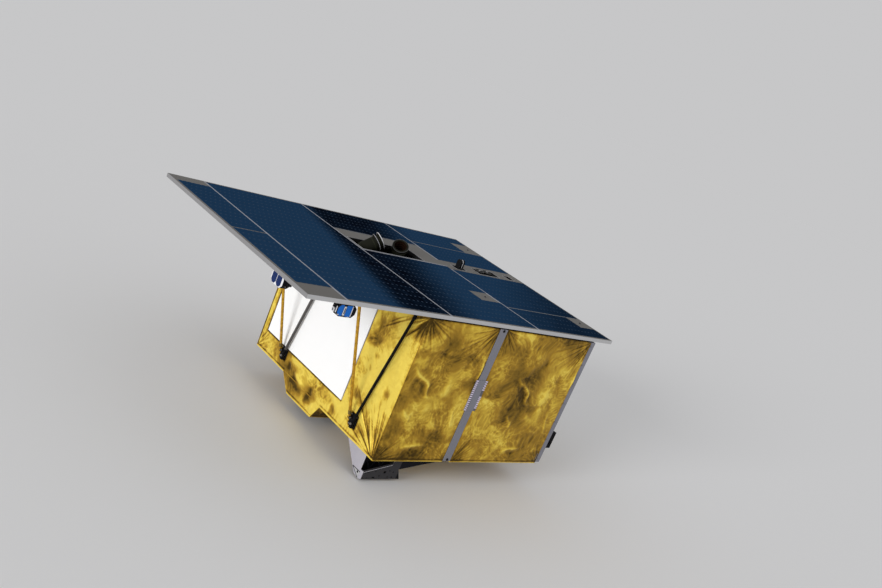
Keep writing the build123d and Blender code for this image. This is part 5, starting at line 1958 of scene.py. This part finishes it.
@dataclass
class StripTrim:
    """Connector tabs, their boards and the end bolts of the mid strips."""

    tab: Point = (0.021, 0.0085)
    tab_t: float = 0.0035
    pitch: float = 0.0165
    plate_t: float = 0.004
    left_stretch: Point = (0.684, 0.932)
    right_stretches: tuple[Point, ...] = ((0.862, 0.932), (0.706, 0.800))
    board_level: float = 0.808
    bolt_levels: tuple[float, ...] = (0.240, 1.353)
    bolt: Bolt = Bolt(0.0115, 0.0014, 0.0090, 0.0045)

    def build(self) -> None:
        """Makes the trim of both strips."""
        tabs, boards, bolts = Shape(), Shape(), Shape()
        for name, outward in (("mid_strip_front", FRONT), ("mid_strip_rear", REAR)):
            low, high, middle = span(name)
            plate_y = low.y if outward.y < 0.0 else high.y
            for x in (low.x + 0.0120, high.x - 0.0120):
                board_place = standing((x, plate_y, self.board_level), outward)
                boards.plate(block(0.023, 0.256, 0.001), 0.0, 0.0008, board_place, 0.0002)
            stretches = [(low.x + 0.0110, self.left_stretch)]
            stretches += [(high.x - 0.0110, stretch) for stretch in self.right_stretches]
            for x, (start, end) in stretches:
                count = round((end - start) / self.pitch)
                for z in (start + (end - start) * step / count for step in range(count + 1)):
                    place = standing((x, plate_y, z), outward)
                    tabs.plate(block(*self.tab, 0.0015), 0.0008, self.tab_t, place, 0.0008)
            strip_y = plate_y - outward.y * self.plate_t
            self.bolt.put(bolts, *(standing((middle.x, strip_y, z), outward) for z in self.bolt_levels))
        tabs.make("strip_tabs", Slot.TRIM_GREY, TAB_LIGHT)
        boards.make("strip_tab_boards", Slot.TRIM_GREY, GREY_INLAY)
        bolts.make("strip_bolts", Slot.BLACK_FITTING)


@dataclass
class BracketTrim:
    """Rods painted as edge highlights, folded doubler and bolts of the near corner's bracket.

    A dark back, painted shade, lies behind each hole, given by its middle along and up the front plate and
    its two sizes.
    """

    x0: float = -0.901
    y0: float = -0.856
    low_z: float = 0.0204
    top_z: float = 0.2144
    edge: float = 0.0022
    doubler: tuple[Point, ...] = ((-0.036, -0.006), (-0.030, 0.044), (-0.127, 0.042))
    holes: tuple[tuple[float, float, float, float], ...] = (
        (0.118, 0.014, 0.026, 0.011), (0.212, 0.060, 0.024, 0.018), (0.018, 0.012, 0.009, 0.009),
        (0.058, 0.012, 0.009, 0.009), (0.296, 0.016, 0.012, 0.014), (0.294, 0.060, 0.012, 0.014),
        (0.027, 0.054, 0.010, 0.008), (0.058, 0.058, 0.012, 0.008), (0.121, 0.064, 0.009, 0.009),
    )
    under_bolt: Bolt = Bolt(0.0080, 0.0012, 0.0066, 0.0040)
    front_bolt: Bolt = Bolt(0.0060, 0.0010, 0.0050, 0.0030)

    def rod(self, shape: Shape, start: Vector, end: Vector, width: float) -> None:
        """Adds a thin square rod between two points.

        Args:
            shape: shape that it joins.
            start: one end.
            end: other end.
            width: its thickness.
        """
        way = end - start
        side = UP if abs(way.normalized().z) < 0.9 else RIGHT
        shape.plate(block(width, width, width * 0.25), 0.0, way.length, standing(start, way, side), 0.0002)

    def spot(self, u: float, depth: float, v: float) -> Vector:
        """Point along, behind and above the lower left corner of the front plate."""
        return Vector((self.x0 + u, self.y0 + depth, self.low_z + v))

    def build(self) -> None:
        """Makes the bracket's trim."""
        edges, doubler, dark, bolts = (Shape() for _ in range(4))
        height = self.top_z - self.low_z
        # Thin bright rods: painted highlights along the bracket's edges.
        for start, end in (((0.0, -0.0085, 0.064), (0.252, -0.0085, 0.129)),
                           ((0.0, 0.037, 0.068), (0.0, 0.037, height - 0.001)),
                           ((0.002, 0.002, 0.002), (0.002, 0.002, 0.062))):
            self.rod(edges, self.spot(*start), self.spot(*end), self.edge)
        side = standing(self.spot(0.0, 0.0, 0.0), LEFT)
        doubler.plate(list(self.doubler), 0.0, 0.0016, side, 0.0005)
        bend = side @ Vector((*self.doubler[2], 0.0018))
        # Dark rods along the doubler's bends: painted shadow lines.
        for corner in (self.doubler[1], self.doubler[0]):
            self.rod(dark, bend, side @ Vector((*corner, 0.0018)), 0.0040)
        doubler.make("bracket_doubler", Slot.BRACKET_GREY, LAVENDER)
        edges.make("bracket_painted_highlight_edges", Slot.BRACKET_GREY, PAINTED_HIGHLIGHT_EDGE)
        # A dark disc of painted shade on the side plate, then dark backs of painted shade behind the holes
        # and a dark sheet of painted shade behind the lattice.
        dark.plate(moved(circle(0.0085), -0.055, 0.031), 0.0016, 0.0024, side)
        for u, v, width, tall in self.holes:
            behind = standing(self.spot(u, 0.0045, v), FRONT)
            dark.plate(block(width + 0.003, tall + 0.003), -0.0010, 0.0, behind)
        skin = [(0.004, 0.013), (0.330, 0.079), (0.330, height - 0.0006), (0.004, height - 0.0006)]
        dark.plate(skin, 0.0, 0.0012, standing(self.spot(0.0, 0.0756, 0.0), FRONT))
        dark.make("bracket_painted_shade_backs", Slot.INNER_BLACK)
        self.under_bolt.put(bolts, *(standing(self.spot(u, 0.020, height - 0.0002), DOWN, REAR)
                                     for u in (0.090, 0.190, 0.290)))
        self.front_bolt.put(bolts, *(standing(self.spot(u, 0.0, v), FRONT)
                                     for u, v in ((0.250, 0.020), (0.250, 0.075), (0.165, 0.030))))
        bolts.make("bracket_bolts", Slot.BLACK_FITTING)


@dataclass
class RingTrim:
    """Bolts that hold the separation ring's upper flange."""

    flange_r: float = 0.489
    flange_under: float = 0.218
    count: int = 36
    bolt: Bolt = Bolt(0.0085, 0.0014, 0.0072, 0.0050)

    def build(self) -> None:
        """Makes the ring's bolts."""
        bolts, under = Shape(), at(self.flange_r, 0.0, self.flange_under) @ Matrix.Rotation(math.pi, 4, "X")
        turns = (math.tau * (step + 0.5) / self.count for step in range(self.count))
        self.bolt.put(bolts, *(Matrix.Rotation(turn, 4, "Z") @ under for turn in turns))
        bolts.make("ring_bolts", Slot.BARE_METAL, FIXING)


@dataclass
class HoodTrim:
    """Mouth frame and screws of the hood, and the hatch's ribs and screws."""

    frame_t: float = 0.0016
    hatch_border: float = 0.020
    mouth_half: float = 0.166
    rib_shift: float = 0.012
    mouth_screw: Bolt = Bolt(0.0040, 0.0006, 0.0034, 0.0022)
    hatch_screw: Bolt = Bolt(0.0050, 0.0008, 0.0040, 0.0026)

    def build(self) -> None:
        """Makes the trim of the hood and of the hatch."""
        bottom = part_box("hood")[0].z
        low, high, hatch = span("hatch")
        middle_y, down = sum(HOOD.mouth) / 2, HOOD.mouth[1] - HOOD.mouth[0]
        across, shape, screws = high.x - low.x - self.hatch_border, Shape(), Shape()
        for side in (-1.0, 1.0):
            edge_x = hatch.x + side * (across / 2 + 0.006)
            edge_y = middle_y + side * (self.mouth_half + 0.006)
            shape.plate(block(0.010, down - 0.030, 0.001), -self.frame_t, 0.0, at(edge_x, middle_y, bottom))
            shape.plate(block(across, 0.009, 0.001), -self.frame_t, 0.0, at(hatch.x, edge_y, bottom))
            for step in range(-5, 6, 2):
                spots = (hatch.x + step * 0.028, edge_y), (edge_x, middle_y + step * 0.030)
                places = (standing((*spot, bottom - self.frame_t), DOWN, REAR) for spot in spots)
                self.mouth_screw.put(screws, *places)
        shape.make("hood_mouth_frame", Slot.BAFFLE_BLACK)
        screws.make("hood_mouth_screws", Slot.BARE_METAL, FIXING)
        self.hatch(low, high)

    def hatch(self, low: Vector, high: Vector) -> None:
        """Makes the hatch's ribs, rim and screws.

        Args:
            low: lowest corner of the hatch.
            high: highest corner of the hatch.
        """
        ribs, screws, middle = Shape(), Shape(), (low + high) / 2
        place = at(middle.x, middle.y + self.rib_shift, low.z + 0.008)
        inner_x, inner_y = high.x - low.x - 0.050, high.y - low.y - 0.080
        ribs.tiles(place, *((0.006, inner_y, 0.001, x * inner_x, 0.0, -0.0002, 0.007, 0.001)
                            for x in (-0.33, 0.0, 0.33)))
        ribs.tiles(place, *((inner_x, 0.006, 0.001, 0.0, y * inner_y, -0.0002, 0.007, 0.001)
                            for y in (-0.5, 0.5)))
        ribs.make("hatch_ribs", Slot.BAFFLE_BLACK, body=HATCH)
        self.hatch_screw.put(screws, *(place @ at(x * inner_x, y * inner_y, 0.0)
                                       for x in (-0.42, -0.14, 0.14, 0.42) for y in (-0.41, 0.41)))
        screws.make("hatch_screws", Slot.BARE_METAL, FIXING, body=HATCH)


@dataclass
class EdgeTrim:
    """Screws of the corner angles and the radiator, and the side box's lid and connector."""

    angle_levels: tuple[float, ...] = (0.262, 0.45, 0.62, 0.80, 0.98, 1.16, 1.33)
    side_box_level: float = 0.45
    angle_screw: Bolt = Bolt(0.0070, 0.0010, 0.0056, 0.0035)
    lid_screw: Bolt = Bolt(0.0032, 0.0005, 0.0026, 0.0018)

    def build(self) -> None:
        """Makes the corner, radiator and side box trim."""
        screws = Shape()
        for name, outward in (("corner_angle_front", FRONT), ("corner_angle_rear", REAR)):
            low, high, middle = span(name)
            outer_y = low.y if outward is FRONT else high.y
            for level in self.angle_levels:
                self.angle_screw.put(screws, standing((high.x - 0.045, outer_y, level), outward))
                if outward is REAR or level != self.side_box_level:
                    self.angle_screw.put(screws, standing((high.x, middle.y, level), RIGHT))
        screws.make("corner_angle_screws", Slot.BARE_METAL, FIXING)
        self.radiator()
        self.side_box()

    def radiator(self) -> None:
        """Makes the radiator's white fixings near its border."""
        low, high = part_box("radiator")
        left, right, bottom, top = low.y + 0.03, high.y - 0.03, low.z + 0.025, high.z - 0.025
        spots = [(left + (right - left) * step / 6, z) for step in range(7) for z in (bottom, top)]
        spots += [(y, bottom + (top - bottom) * step / 5) for step in range(1, 5) for y in (left, right)]
        buttons = Shape()
        for y, z in spots:
            buttons.plate(circle(0.006, 16), 0.0, 0.0018, standing((low.x, y, z), LEFT), 0.0008)
        buttons.make("radiator_fixings", Slot.RADIATOR_WHITE)

    def side_box(self) -> None:
        """Makes the side box's lid, connector and screws."""
        low, high, middle = span("side_box")
        lid, plug, front = Shape(), Shape(), standing((high.x, middle.y, middle.z), RIGHT)
        lid.plate(block(high.y - low.y - 0.030, high.z - low.z - 0.030, 0.004), 0.0, 0.0020, front, 0.0006)
        self.lid_screw.put(lid, *(front @ at(x, y, 0.0020) for x in (-0.017, 0.017) for y in (-0.055, 0.055)))
        lid.make("side_box_lid", Slot.BLACK_FITTING)
        profile = [(0.0, 0.0), (0.011, 0.0), (0.011, 0.010), (0.0085, 0.010), (0.0085, 0.004), (0.0, 0.004)]
        plug.turned(profile, 24, standing((middle.x, low.y, middle.z - 0.030), FRONT), closed=False)
        plug.make("side_box_connector", Slot.BLACK_FITTING)


@dataclass
class Studio:
    """Floor, soft sun, world and camera."""

    floor_size: float = 200.0
    floor_colour: Colour = (0.84, 0.84, 0.85)
    world_level: float = 0.56
    key_level: float = 2.1
    key_spread: float = 24.0
    key_from: tuple[float, float, float] = (-0.92, -0.22, 0.17)
    camera_place: tuple[float, float, float] = (-5.42334, -5.46208, 3.07511)
    camera_turn: tuple[float, float, float] = (71.8313, -21.8880, -38.1150)
    lens: float = 39.39
    shift: Point = (0.0181, 0.0635)

    def build(self) -> None:
        """Makes the studio."""
        self.key_way = Vector(self.key_from).normalized()
        self.floor()
        self.world()
        self.key()
        self.camera()

    def floor(self) -> None:
        """Makes the pale floor."""
        mesh = bpy.data.meshes.new("studio_floor")
        corners = [(x, y, 0.0) for x, y in block(self.floor_size, self.floor_size)]
        mesh.from_pydata(corners, [], [(0, 1, 2, 3)])
        floor = bpy.data.objects.new("studio_floor", mesh)
        bpy.context.scene.collection.objects.link(floor)
        mesh.materials.append(material_of(FloorFinish("floor_paint", self.floor_colour, 0.0, 0.9, 0.0)))

    def world(self) -> None:
        """Makes the pale world, which camera and gloss see in the lit floor's own tone."""
        world = bpy.data.worlds.new("studio_world")
        bpy.context.scene.world = world
        world.use_nodes = True
        world.node_tree.nodes.clear()
        board = NodeBoard(world.node_tree)
        path = board.add("ShaderNodeLightPath").outputs
        floor_level = self.world_level + self.key_level * self.key_way.z / math.pi
        tones = ((1.0, 1.0, 1.0), self.world_level), (self.floor_colour, floor_level)
        light, seen = (board.add("ShaderNodeBackground", {"Color": colour, "Strength": level}).outputs[0]
                       for colour, level in tones)
        direct = board.math("MAXIMUM", path["Is Camera Ray"], path["Is Glossy Ray"])
        direct = board.math("MAXIMUM", direct, path["Is Transmission Ray"])
        mixer = board.add("ShaderNodeMixShader", {"Fac": direct, 1: light, 2: seen})
        board.add("ShaderNodeOutputWorld", {"Surface": mixer.outputs["Shader"]})

    def key(self) -> None:
        """Makes the soft sun."""
        light = bpy.data.lights.new("key_sun", "SUN")
        light.angle, light.energy = math.radians(self.key_spread), self.key_level
        lamp = bpy.data.objects.new("key_sun", light)
        lamp.rotation_euler = self.key_way.to_track_quat("Z", "Y").to_euler()
        bpy.context.scene.collection.objects.link(lamp)

    def camera(self) -> None:
        """Makes the camera at the photograph's angle."""
        data = bpy.data.cameras.new("camera")
        data.sensor_width, data.lens, data.clip_end = 36.0, self.lens, 200.0
        data.shift_x, data.shift_y = self.shift
        camera = bpy.data.objects.new("camera", data)
        camera.location = self.camera_place
        camera.rotation_euler = [math.radians(turn) for turn in self.camera_turn]
        bpy.context.scene.collection.objects.link(camera)
        bpy.context.scene.camera = camera


def dress_frame() -> None:
    """Gives every CAD node the finish of its slot."""
    slots = {part["node"]: part.get("material_slot", part["node"]) for part in frame["record"]["subparts"]}
    for name, node in frame["nodes"].items():
        node.data.materials.clear()
        node.data.materials.append(material_of(FINISHES[Slot(slots[name])]))


def main() -> None:
    """Builds the looks piece by piece."""
    logging.basicConfig(level=logging.INFO, format="%(message)s")
    bpy.context.scene.view_settings.view_transform = "Standard"
    dress_frame()
    for part in (Blankets(), HOOD, SolarArray(), StrutTrim(), FootTrim(), SensorTrim(), TrackerTrim(),
                 DeckTrim(), StripTrim(), BracketTrim(), RingTrim(), HoodTrim(), EdgeTrim(), Studio()):
        part.build()


if __name__ == "__main__":
    main()
